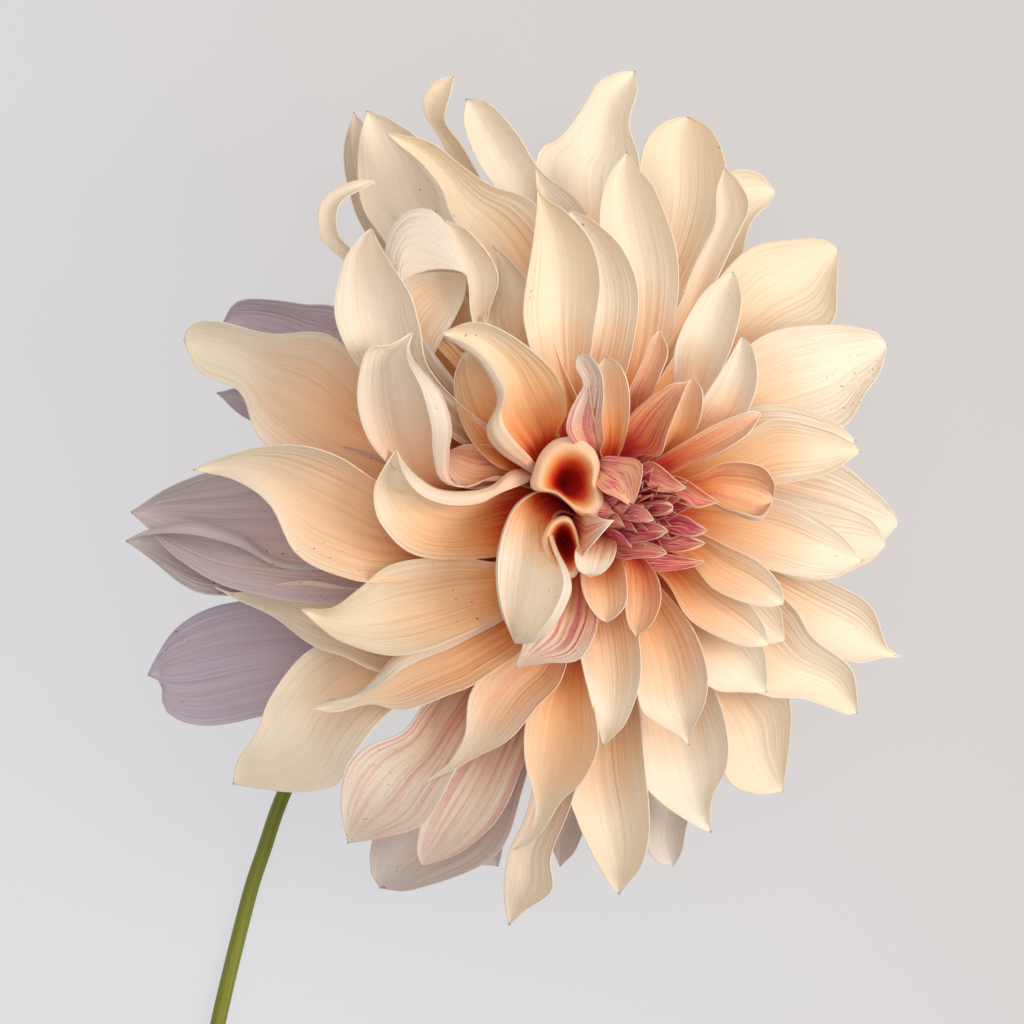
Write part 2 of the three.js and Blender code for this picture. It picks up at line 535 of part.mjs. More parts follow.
const RINGS = {
  shown: [0.05, 0.34, 0.56, 0.76, 0.92], hidden: [0, 0.3, 0.6, 0.85], resting: [0, 0.35, 0.7, 0.94],
  floret: [0, 0.4, 0.75],
};
const SHARES = { shown: [-1, -0.4, 0.4, 1], hidden: [-1, 0, 1], resting: [-1, 0, 1] };

/** A direction and a height seen from the head, as a place in the model. */
function fromHead(angle, reach, rise) {
  const east = squareTo(new THREE.Vector3(1, 0, 0), AXIS);
  const north = AXIS.clone().cross(east);
  return HEAD.clone()
    .addScaledVector(east, reach * Math.cos(angle))
    .addScaledVector(north, reach * Math.sin(angle))
    .addScaledVector(AXIS, rise);
}

/** A turned solid whose axis is AXIS through HEAD, from [radius, height] pairs that start and end on it. */
function turned(profile, sides) {
  const lathe = new THREE.LatheGeometry(profile.map(([r, h]) => new THREE.Vector2(r, h)), sides);
  lathe.applyQuaternion(new THREE.Quaternion().setFromUnitVectors(new THREE.Vector3(0, 1, 0), AXIS));
  lathe.translate(...HEAD.toArray());
  return toManifold(lathe);
}

const joined = (solids) => solids.reduce((all, next) => all.add(next));

/** The largest body of a solid, without scraps that a crossing leaves. */
const mainBody = (manifold) => manifold.decompose().reduce((a, b) => (a.volume() > b.volume() ? a : b));

/** A union with its slivers smoothed away. */
const smoothed = (solids) => joined(solids).asOriginal().simplify(SLIVER);

/** Rows for the petals between the back and the front ones, spaced by the golden angle. */
function fillRows({ count, first, reach, rise, lowest, width, climb, pitch }) {
  return Array.from({ length: count }, (_, k) => {
    const tip = fromHead(rad(first) + k * GOLDEN, reach, rise);
    tip.z = Math.max(tip.z, lowest);
    return [tip.toArray(), width, climb, { pitch }];
  });
}

/** The core of the head and every petal that grows from it. */
function petals() {
  const bent = { pitch: REST_PITCH, lead: 0.5, cup: 10, blunt: 3, point: 0.8 };
  const resting = RESTING.map(([x, y]) => [[x, y, REST_DIP], REST_WIDTH, REST_CLIMB, bent]);
  const blades = (rows, kind) => rows.map((row) => blade(row, RINGS[kind], SHARES[kind], PETAL_THICK));
  return [
    turned(CORE, CORE_SIDES),
    ...blades([...INNER, ...MIDDLE, ...OUTER], 'shown'),
    ...blades(fillRows(FILL), 'hidden'),
    ...blades(resting, 'resting'),
  ];
}

/** Young florets, which stand out of a low cone on the top of the receptacle, by the golden angle. */
function eye(grow) {
  const { foot, neck, waist, shoulder, top } = EYE_CONE;
  const cone = turned([
    [0, foot - grow], [neck + grow, foot - grow], [waist[0] + grow, waist[1]],
    [shoulder[0] + grow, shoulder[1]], [0, top + grow],
  ], CONE_SIDES);
  const florets = Array.from({ length: EYE.count }, (_, k) => {
    const share = k / (EYE.count - 1);
    const tip = fromHead(k * GOLDEN + EYE.seed, between(EYE.reach, share), between(EYE.rise, share));
    tip.x += EYE.lean * (1 - share);
    const form = {
      cup: 45, base: 45, keel: 10, pitch: between(EYE.pitch, share), lead: 0.5,
      start: EYE.start, climbUp: EYE.climbUp, rise: EYE.foot,
    };
    const row = [tip.toArray(), between(EYE.width, share) + 2 * grow, between(EYE.climb, share), form];
    return blade(row, RINGS.floret, SHARES.hidden, FLORET_THICK + 2 * grow);
  });
  return joined([cone, ...florets]);
}

/** Papery inner bracts: a low dish with a ring of scales under the lowest petals. */
function scaleBracts(grow) {
  const { top, foot, rim, base, count, reach, tip, width, start } = SCALES;
  const dish = turned([[0, foot], [base, foot], [rim + grow, top], [0, top]], CORE_SIDES);
  const form = { start, rise: (top + foot) / 2, pitch: 0, base: 10, neck: 0.8, blunt: 3, point: 0.6 };
  const scales = Array.from({ length: count }, (_, k) => {
    const place = fromHead((k * 2 * Math.PI) / count, reach, tip);
    const row = [place.toArray(), width + 2 * grow, 0, form];
    return blade(row, RINGS.floret, SHARES.hidden, FLORET_THICK + 2 * grow);
  });
  return joined([dish, ...scales]);
}

/** The green cup on the end of the stem, with its bent-back bracts. */
function greenBracts() {
  const { count, reach, droop, width, start, rise, climb, pitch } = BRACT;
  const form = { start, rise, pitch, base: 10, neck: 0.6, blunt: 2.6, point: 0.8 };
  const leaves = Array.from({ length: count }, (_, k) => {
    const tip = fromHead(((k + 0.5) * 2 * Math.PI) / count, reach, droop);
    return blade([tip.toArray(), width, climb, form], RINGS.floret, SHARES.hidden, FLORET_THICK);
  });
  return joined([turned(CUP, CORE_SIDES), ...leaves]);
}

/** The stem: rings of one thickness after another, square to a smooth route. */
function stem() {
  const route = new THREE.CatmullRomCurve3(STEM_ROUTE.map(vec), false, 'centripetal');
  const frames = route.computeFrenetFrames(STEM.steps, false);
  const points = [];
  for (let i = 0; i <= STEM.steps; i += 1) {
    const share = i / STEM.steps;
    const radius = share < STEM.thinnest
      ? between([STEM.neck, STEM.middle], ease(share / STEM.thinnest))
      : between([STEM.middle, STEM.foot], ease((share - STEM.thinnest) / (1 - STEM.thinnest)));
    const middle = route.getPointAt(share);
    for (let j = 0; j < STEM.sides; j += 1) {
      const turn = (2 * Math.PI * j) / STEM.sides;
      points.push(middle.clone()
        .addScaledVector(frames.normals[i], radius * Math.cos(turn))
        .addScaledVector(frames.binormals[i], radius * Math.sin(turn)));
    }
  }
  points.forEach((p) => { p.z = Math.max(p.z, 0); });
  const faces = [];
  for (let i = 0; i < STEM.steps; i += 1) {
    for (let j = 0; j < STEM.sides; j += 1) {
      const next = (j + 1) % STEM.sides;
      const [a, b] = [i * STEM.sides + j, i * STEM.sides + next];
      faces.push([a, b, b + STEM.sides], [a, b + STEM.sides, a + STEM.sides]);
    }
  }
  const last = STEM.steps * STEM.sides;
  for (let j = 1; j + 1 < STEM.sides; j += 1) faces.push([0, j + 1, j], [last, last + j, last + j + 1]);
  return rightWayOut(points, faces);
}

const finish = (color, roughness) => new THREE.MeshStandardMaterial({ color, roughness, metalness: 0 });

const room = joined([eye(GAP), scaleBracts(GAP)]);
const pieces = {
  ray_florets: [mainBody(smoothed(petals()).subtract(room)), finish(0xf3e3c6, 0.6)],
  eye_florets: [mainBody(smoothed([eye(0)])), finish(0xb5525c, 0.6)],
  inner_bracts: [mainBody(smoothed([scaleBracts(0)])), finish(0xb9b58a, 0.7)],
  outer_bracts: [mainBody(smoothed([greenBracts()])), finish(0x6f8f45, 0.6)],
  stem: [stem(), finish(0x6d8436, 0.55)],
};
const dahlia = new THREE.Group();
for (const [name, [manifold, material]] of Object.entries(pieces)) {
  const mesh = new THREE.Mesh(toGeometry(manifold), material);
  mesh.name = name;
  dahlia.add(mesh);
}
dahlia.position.set(...LIE);

export default dahlia;
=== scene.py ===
"""A cut dahlia bloom on its bare stem, laid face up on a plain pale surface, seen from straight above.

Every petal is one surface of two parameters, along its midrib and across its width, given a wall of
petal thickness. Places are in millimetres from the eye of the bloom in plan and from the surface in
height. LIE then moves them to the frame of the part, and the meshes are in metres. Spots are on the
view from above, 1024 units a side from its upper left.
"""

import logging
import math
from dataclasses import dataclass, field, replace
from enum import Enum
from typing import Any, Iterable, Sequence

import bpy
import numpy as np
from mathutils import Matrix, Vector


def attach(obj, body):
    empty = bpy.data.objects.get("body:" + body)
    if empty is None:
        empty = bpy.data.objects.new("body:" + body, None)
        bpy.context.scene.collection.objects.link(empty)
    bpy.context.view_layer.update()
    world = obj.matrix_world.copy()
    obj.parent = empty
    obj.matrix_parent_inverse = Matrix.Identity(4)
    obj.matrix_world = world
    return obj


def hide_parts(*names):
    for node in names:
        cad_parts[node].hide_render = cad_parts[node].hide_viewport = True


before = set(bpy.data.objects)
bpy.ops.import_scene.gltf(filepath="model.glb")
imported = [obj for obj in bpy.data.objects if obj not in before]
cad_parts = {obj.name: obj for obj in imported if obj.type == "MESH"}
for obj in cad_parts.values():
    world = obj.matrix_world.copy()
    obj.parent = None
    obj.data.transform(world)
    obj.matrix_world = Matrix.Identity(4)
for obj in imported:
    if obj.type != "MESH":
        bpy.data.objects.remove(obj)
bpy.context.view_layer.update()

MM = 0.001
LIE = np.array([34.6, 58.1, 0.0])
# The middle of the head, and the way from the stem out through the eye
HEAD = np.array([-25.0, 2.0, 72.0])
AXIS = np.array([0.46, -0.03, 0.8874]) / np.linalg.norm([0.46, -0.03, 0.8874])
GOLDEN = math.radians(137.508)
UP = np.array([0.0, 0.0, 1.0])
# The view from above: the place under the camera, the camera's height over the surface, and the distance
# below it at which one unit of the view is so many millimetres
VIEW_MIDDLE = np.array([-37.24, 0.84])
VIEW_HEIGHT = 1560.0
VIEW_REACH = 1500.0
VIEW_UNIT = 0.28
VIEW_CENTRE = 512
VIEW_AXES = (1, -1)
# What all blades share
TIP_REACH = 0.42  # how long before the tip the middle line heads for it, as a share of the length
WIDEST = 0.52  # the widest place of a plain outline
CLOSED_TIP = 2e-3  # the share of the width that is left at its tip
LEAST_HALF = 0.02  # the least half width between drawn margins, in mm
FLAT_PART = 0.35  # the share of the half width that a rolled margin leaves alone
CREASE_WIDTH = 0.07  # the share of the half width in which the slope steps at the midrib
WAVES = 1.5  # waves of a margin along the blade
OTHER_SIDE = 0.37  # how far the right margin's waves are ahead, in waves
PLEATS = 3.5  # half waves of the pleats from the midrib to a margin
FINER = 6  # steps of a section's running sums for each column of the grid

log = logging.getLogger("dahlia")

Vec = tuple[float, float, float]
Spot = tuple[float, float]
Profile = tuple[tuple[float, float], ...]
Grid = tuple[np.ndarray, np.ndarray, np.ndarray]
Named = dict[Any, Any] | None


class Layer(Enum):
    """The layers of petals, from the eye out to the back of the bloom."""

    INNER = "inner_petals"
    MIDDLE = "middle_petals"
    OUTER = "outer_petals"
    BACK = "back_petals"


def unit(v: np.ndarray) -> np.ndarray:
    """Vectors at length one."""
    return v / np.maximum(np.linalg.norm(v, axis=-1, keepdims=True), 1e-9)


def ease(v: np.ndarray | float) -> np.ndarray:
    """A smooth step from 0 at 0 to 1 at 1."""
    v = np.clip(v, 0, 1)
    return v * v * (3 - 2 * v)


def cubic(a: Any, b: Any, c: Any, d: Any, u: np.ndarray) -> np.ndarray:
    """The curve that leaves a toward b and comes from c to d, at shares u of its run."""
    return a * (1 - u) ** 3 + 3 * b * u * (1 - u) ** 2 + 3 * c * u**2 * (1 - u) + d * u**3


def paint(code: str) -> tuple[float, float, float, float]:
    """A colour for a shader from its six hex digits, as they look on a screen.

    Args:
        code: six hex digits of red, green and blue.

    Returns:
        The linear colour with alpha 1.
    """
    seen = np.array([int(code[k:k + 2], 16) for k in (0, 2, 4)]) / 255
    linear = np.where(seen <= 0.04045, seen / 12.92, ((seen + 0.055) / 1.055) ** 2.4)
    return (float(linear[0]), float(linear[1]), float(linear[2]), 1.0)


def running(knots: np.ndarray) -> np.ndarray:
    """How far along a line each of its knots is."""
    return np.concatenate([[0], np.cumsum(np.linalg.norm(np.diff(knots, axis=0), axis=1))])


def smooth_through(knots: np.ndarray, shares: np.ndarray, steps: int = 60) -> np.ndarray:
    """Places on a smooth curve through knots, whose slope at each is half the way between its neighbours.

    Args:
        knots: the places that it runs through.
        shares: where the wanted places are, as shares of its length.
        steps: places a knot at which its length is measured.

    Returns:
        The wanted places.
    """
    ends = np.concatenate([[2 * knots[0] - knots[1]], knots, [2 * knots[-1] - knots[-2]]])
    u = np.linspace(0, len(knots) - 1 - 1e-9, steps * len(knots))
    k = u.astype(int)
    f = (u - k)[:, None]
    a, b, c, d = (ends[k + j] for j in range(4))
    path = 0.5 * (2 * b + (c - a) * f + (2 * a - 5 * b + 4 * c - d) * f**2 + (3 * b - a - 3 * c + d) * f**3)
    far = running(path)
    return np.stack([np.interp(shares * far[-1], far, column) for column in path.T], -1)


def shown(place: np.ndarray) -> np.ndarray:
    """The spot of the view from above at which a place shows."""
    scale = VIEW_REACH / (VIEW_HEIGHT - place[..., 2:]) / VIEW_UNIT
    return VIEW_CENTRE + (place[..., :2] - VIEW_MIDDLE) * scale * VIEW_AXES


def placed(spot: np.ndarray, height: np.ndarray) -> np.ndarray:
    """The place at a height that shows at a spot of the view from above."""
    scale = VIEW_REACH / (VIEW_HEIGHT - height[..., None]) / VIEW_UNIT
    return np.concatenate([VIEW_MIDDLE + (spot - VIEW_CENTRE) / scale * VIEW_AXES, height[..., None]], -1)


EAST = unit(np.array([1.0, 0, 0]) - AXIS * AXIS[0])
NORTH = np.cross(AXIS, EAST)


def from_head(angle: float, reach: float, rise: float) -> np.ndarray:
    """The place at a heading round the head's axis, a distance out from it and a height along it."""
    return HEAD + EAST * reach * math.cos(angle) + NORTH * reach * math.sin(angle) + AXIS * rise


@dataclass(frozen=True)
class Petal:
    """One petal, floret or bract: where its tip is, how wide it is and how its blade bends.

    Angles are in degrees, lengths in millimetres, and places along and across the blade are shares.
    The tip is a place, or a spot and a height where the margins are drawn as edges on the view.
    """

    tip: Vec
    width: float
    climb: float
    pitch: float = -20
    cup: float = 20
    base: float = 70
    keel: float = 40
    crease: float = 14
    left: float = 0
    right: float = 0
    lead: float = 0.42
    blunt: float = 2.3
    point: float = 1.35
    neck: float = 0.3
    wave: float = 1.2
    pleat: float = 0.22
    start: float = 10
    climb_up: float = 14
    rise: float = 0
    warm: float = 0.8
    streak: float = 0
    # share of lavender: partly the petal's own tint, partly painted bluish shade where it lies in shadow
    cool: float = 0
    edges: tuple[tuple[Spot, ...], tuple[Spot, ...]] | None = None

    def controls(self) -> tuple[np.ndarray, np.ndarray]:
        """The middle line's control places.

        Returns:
            The four places, and the unit way round the head's axis at this petal.
        """
        tip = np.array(self.tip, float)
        if self.edges:
            tip = placed(tip[:2], tip[2])
        radial = tip - HEAD
        radial = unit(radial - AXIS * (radial @ AXIS))
        climb, pitch = math.radians(self.climb), math.radians(self.pitch)
        out = radial * math.cos(climb) + AXIS * math.sin(climb)
        root = HEAD + out * self.start + AXIS * (self.rise + self.climb_up * math.sin(climb) ** 2)
        length = np.linalg.norm(tip - root)
        heading = math.atan2(tip[1] - root[1], tip[0] - root[0])
        end = np.array([math.cos(heading), math.sin(heading), 0]) * math.cos(pitch) + UP * math.sin(pitch)
        places = np.array([root, root + out * self.lead * length, tip - end * TIP_REACH * length, tip])
        return places, np.cross(AXIS, radial)

    def midrib(self, t: np.ndarray) -> tuple[np.ndarray, np.ndarray, np.ndarray, np.ndarray]:
        """The middle line from inside the core to the tip, with a plain outline about it.

        The half width grows from the neck to the widest place and closes as (1 - v^blunt)^point to
        the tip.

        Args:
            t: places along the petal, from 0 at its root to 1 at its tip.

        Returns:
            The points, the unit ways across the blade, the unit ways out of its upper face and the
            half widths.
        """
        (root, first, second, tip), side = self.controls()
        v = np.clip((t - WIDEST) / (1 - WIDEST), 0, 1)
        half = self.width / 2 * (self.neck + (1 - self.neck) * ease(t / WIDEST))
        half = half * np.maximum((1 - v**self.blunt) ** self.point, CLOSED_TIP)
        t = t[:, None]
        way = unit((first - root) * (1 - t) ** 2 + 2 * (second - first) * t * (1 - t) + (tip - second) * t**2)
        across = unit(side - way * (way @ side)[:, None])
        return cubic(root, first, second, tip, t), across, np.cross(way, across), half

    def drawn(self, t: np.ndarray) -> tuple[np.ndarray, np.ndarray, np.ndarray, np.ndarray]:
        """The middle line between two margins that are drawn on the view from above.

        Each margin is a smooth curve from the neck at the root through its spots to the tip. Its
        heights are those of the middle line's control places, as a cubic curve. The face looks at
        the camera, so that the margins show where they are drawn.

        Args:
            t: places along the petal.

        Returns:
            The middle points, the unit ways across, the unit ways out of the face and the half widths.
        """
        controls, side = self.controls()
        levels = controls[:, 2]
        one, other = self.edges
        gap = (np.mean(one, axis=0) - np.mean(other, axis=0)) * VIEW_AXES
        ahead = (np.array(self.tip[:2]) - np.mean([one[0], other[0]], axis=0)) * VIEW_AXES
        pair = (one, other) if ahead[0] * gap[1] > ahead[1] * gap[0] else (other, one)
        margins = []
        for facing, edge in zip((1, -1), pair):
            foot = controls[0] + side * facing * self.width / 2 * self.neck
            spots = np.array([shown(foot), *edge, self.tip[:2]])
            far = running(spots)
            margins.append(smooth_through(placed(spots, cubic(*levels, far / far[-1])), t))
        left, right = margins
        line = (left + right) / 2
        line[:, 2] = cubic(*levels, t)
        over = (left - right) / 2
        over[:, 2] = 0
        across = unit(over)
        across[-1] = across[-2]
        face = unit(np.array([*VIEW_MIDDLE, VIEW_HEIGHT]) - line)
        return line, across, face, np.maximum(np.linalg.norm(over, axis=1), LEAST_HALF)

    def section(self, t: np.ndarray, columns: int) -> tuple[np.ndarray, np.ndarray]:
        """The section at places along the blade: the running sums of the cosine and sine of its slope.

        The slope grows across the blade with the cup, turns on in the rolled margins and steps at the
        crease over the midrib. Drawn blades have each side scaled to end on its margin.

        Args:
            t: places along the petal, one a row.
            columns: places across it.

        Returns:
            Grids of how far each point is across and out of the face, in half widths.
        """
        fade = (1 - t) ** 2.5
        cup = np.radians(self.base * fade + self.cup * (1 - fade) + self.keel * t**5)
        opened = ease(t / 0.35) * (1 - 0.6 * t**6)
        fine = np.linspace(-1, 1, FINER * (columns - 1) + 1)[None]
        margin = np.clip((np.abs(fine) - FLAT_PART) / (1 - FLAT_PART), 0, 1) ** 1.5
        rolled = np.where(fine > 0, math.radians(self.left), -math.radians(self.right))
        slope = cup * fine + rolled * margin * opened
        slope = slope + math.radians(self.crease) * (0.4 + 1.2 * t) * np.tanh(fine / CREASE_WIDTH)
        step = fine[0, 1] - fine[0, 0]
        x, y = (
            np.concatenate([np.zeros((len(t), 1)), np.cumsum((part[:, 1:] + part[:, :-1]) / 2 * step, 1)], 1)
            for part in (np.cos(slope), np.sin(slope))
        )
        x, y = (part - part[:, [part.shape[1] // 2]] for part in (x, y))
        if self.edges:
            reach = np.where(fine > 0, x.max(1, keepdims=True), -x.min(1, keepdims=True))
            x, y = x / reach, y / reach
        return x[:, ::FINER], y[:, ::FINER]

    def surface(self, rows: int, columns: int) -> Grid:
        """The blade: sections square to the middle line, with waved margins and shallow pleats lengthwise.

        Args:
            rows: places along the petal.
            columns: places across it.

        Returns:
            The grid of points, and the places along and across as grids.
        """
        t = np.linspace(0, 1, rows)
        g = np.linspace(-1, 1, columns)
        line, across, face, half = self.drawn(t) if self.edges else self.midrib(t)
        t = t[:, None]
        x, y = (part * half[:, None] for part in self.section(t, columns))
        beat = 2 * math.pi * (WAVES * t + OTHER_SIDE * (g > 0))
        lift = self.wave * np.abs(g) ** 2.4 * np.sin(beat) * ease(t / 0.3) * (1 - t**4)
        lift = lift + self.pleat * np.cos(PLEATS * math.pi * g) * (1 - g**2) * ease(t / 0.4) * (1 - t**3)
        points = line[:, None] + across[:, None] * x[..., None]
        points = points + face[:, None] * (y + lift)[..., None]
        return points, np.broadcast_to(t, points.shape[:2]), np.broadcast_to(g, points.shape[:2])


@dataclass(frozen=True)
class Trumpet:
    """A young floret rolled into a trumpet, seen from above into its throat.

    The mouth and the turned-out rim are closed lines of matched spots on the view from above.
    """

    mouth: tuple[Spot, ...]
    rim: tuple[Spot, ...]
    throat: Spot
    height: float
    depth: float = 14
    neck: float = 4
    crest: float = 4
    drop: float = 3

    def surface(self, rows: int, columns: int) -> Grid:
        """The sheet: each place round the throat runs up to the mouth, over the crest and down to the rim.

        It is a cubic curve whose control places lie on the throat, the mouth, the crest and the rim.

        Args:
            rows: places from the throat to the rim.
            columns: places round it.

        Returns:
            The grid of points, and the places along and across as grids.
        """
        u = np.linspace(0, 1, rows)[:, None, None]
        round_it = np.linspace(1, 0, columns)
        mouth, rim = (np.array([*line, line[0]], float) for line in (self.mouth, self.rim))
        middle = np.array(self.throat, float)
        loops = {
            -self.depth: middle + (mouth - middle) * 0.15,
            -self.neck: middle + (mouth - middle) * 1.2,
            self.crest: mouth + (rim - mouth) * 0.6,
            -self.drop: rim,
        }
        controls = [
            smooth_through(placed(loop, np.full(len(loop), self.height + level)), round_it)
            for level, loop in loops.items()
        ]
        points = cubic(*controls, u)
        # along grows slowly at first, so the darkest red fills the trumpet up to its mouth: painted shade
        # inside it over its red base
        along = np.broadcast_to(0.08 + 0.84 * u[..., 0] ** 1.3, points.shape[:2])
        return points, along, np.broadcast_to(np.linspace(-0.1, 0.1, columns), points.shape[:2])


# The two florets rolled into trumpets, left of the eye
CURLS = (
    Trumpet(
        mouth=((587, 482), (584, 489), (580, 494), (575, 497), (569, 498), (563, 496), (558, 491), (554, 484),
               (555, 476), (559, 470), (565, 466), (572, 466), (579, 468), (584, 474)),
        rim=((595, 484), (602, 494), (603, 507), (594, 517), (580, 514), (568, 503), (555, 493), (532, 488),
             (535, 468), (542, 452), (556, 440), (576, 438), (592, 448), (599, 465)),
        throat=(563, 485),
        height=119,
    ),
    Trumpet(
        mouth=((575, 541), (577, 551), (574, 560), (569, 564), (563, 560), (557, 551), (554, 540), (556, 531),
               (562, 526), (568, 527), (572, 532)),
        rim=((578, 538), (581, 555), (578, 571), (570, 578), (558, 571), (548, 558), (543, 542), (549, 525),
             (560, 517), (569, 518), (574, 526)),
        throat=(564, 540),
        height=118,
    ),
)
# Petals that the view shows, by tip, width at the root and climb, with margins drawn from neck to tip
INNER = (
    Petal((515, 643, 112), 20, 72, pitch=-42, cup=50, left=70, right=40, base=100, warm=0.55, edges=(
        ((548, 492), (525, 497), (508, 518), (497, 560), (500, 605)),
        ((562, 512), (553, 532), (557, 550), (567, 570), (571, 588), (565, 606), (554, 624), (535, 641)))),
    Petal((515, 668, 108), 26, 62, pitch=-25, streak=0.9, warm=0.7, edges=(
        ((545, 560), (530, 620), (520, 655)), ((590, 560), (598, 615), (590, 645), (575, 661), (545, 663)))),
    Petal((590, 577, 118), 14, 76, pitch=-35, cup=30, keel=0, crease=0, streak=0.25, warm=0.8, edges=(
        ((585, 530), (576, 548), (575, 560), (579, 571)), ((607, 528), (616, 542), (613, 560), (603, 573)))),
    Petal((614, 520, 124), 12, 66, pitch=0, cup=30, crease=0, keel=10, streak=0.9, warm=1.1, edges=(
        ((575, 510), (592, 515), (604, 519)), ((572, 530), (579, 557), (590, 547), (603, 532)))),
    Petal((607, 622, 112), 17, 72, cup=30, streak=0.2, warm=1.25, edges=(
        ((580, 560), (583, 592), (596, 615)), ((622, 560), (627, 598), (618, 615)))),
    Petal((637, 637, 108), 18, 70, cup=40, streak=0.5, warm=1.25, edges=(
        ((622, 558), (624, 590), (628, 622)), ((650, 565), (661, 596), (653, 622)))),
    Petal((580, 353, 123), 18, 66, cup=30, right=60, streak=0.9, warm=0.7, edges=(
        ((592, 470), (568, 435), (569, 415), (577, 398), (584, 384), (576, 366)),
        ((606, 468), (600, 452), (604, 440), (602, 420), (604, 396), (602, 374), (592, 358)))),
    Petal((606, 357, 119), 18, 64, cup=40, warm=1.2, edges=(
        ((598, 450), (592, 410), (590, 380)), ((622, 448), (629, 415), (628, 385), (619, 364)))),
    Petal((441, 333, 120), 26, 64, pitch=0, cup=30, left=150, warm=0.8, edges=(
        ((534, 475), (500, 452), (487, 430), (498, 398), (480, 362), (458, 345)),
        ((558, 440), (567, 410), (555, 373), (512, 336), (475, 322)))),
    Petal((464, 352, 106), 26, 56, cup=30, warm=1.2, edges=(
        ((534, 478), (497, 466), (469, 437), (456, 402), (455, 375)),
        ((550, 440), (520, 410), (500, 385), (480, 358)))),
    Petal((660, 330, 110), 15, 66, pitch=10, cup=30, streak=0.7, warm=1.3, edges=(
        ((617, 445), (626, 400), (642, 362), (651, 340)), ((648, 430), (650, 403), (660, 376), (668, 352)))),
    Petal((688, 382, 114), 14, 62, pitch=10, cup=40, streak=1, warm=1.4, edges=(
        ((603, 452), (618, 430), (640, 406), (668, 386)), ((635, 458), (659, 456), (668, 432), (680, 402)))),
    Petal((693, 379, 110), 16, 60, pitch=10, cup=40, streak=0.2, warm=1.25, edges=(
        ((652, 458), (667, 434), (677, 402), (686, 384)), ((675, 456), (697, 428), (703, 400), (700, 386)))),
    Petal((742, 336, 98), 22, 56, cup=30, streak=0.2, edges=(
        ((668, 446), (695, 410), (722, 370)), ((708, 455), (742, 420), (757, 385), (754, 352)))),
    Petal((762, 413, 107), 16, 64, cup=30, streak=0.6, warm=1.3, edges=(
        ((680, 445), (715, 425), (748, 412)), ((690, 465), (720, 452), (748, 434)))),
    Petal((773, 500, 98), 22, 60, pitch=-30, cup=50, right=50, streak=0.4, warm=1.2, edges=(
        ((690, 478), (725, 463), (760, 466), (774, 482)), ((695, 502), (730, 512), (760, 520)))),
    Petal((784, 604, 96), 20, 57, streak=0.1, warm=0.95, edges=(
        ((690, 530), (727, 546), (759, 562), (780, 585)), ((680, 556), (715, 590), (760, 606)))),
    Petal((770, 645, 90), 20, 54, streak=0.1, warm=0.95, edges=(
        ((681, 556), (735, 592), (760, 618)), ((660, 575), (690, 620), (740, 645)))),
)
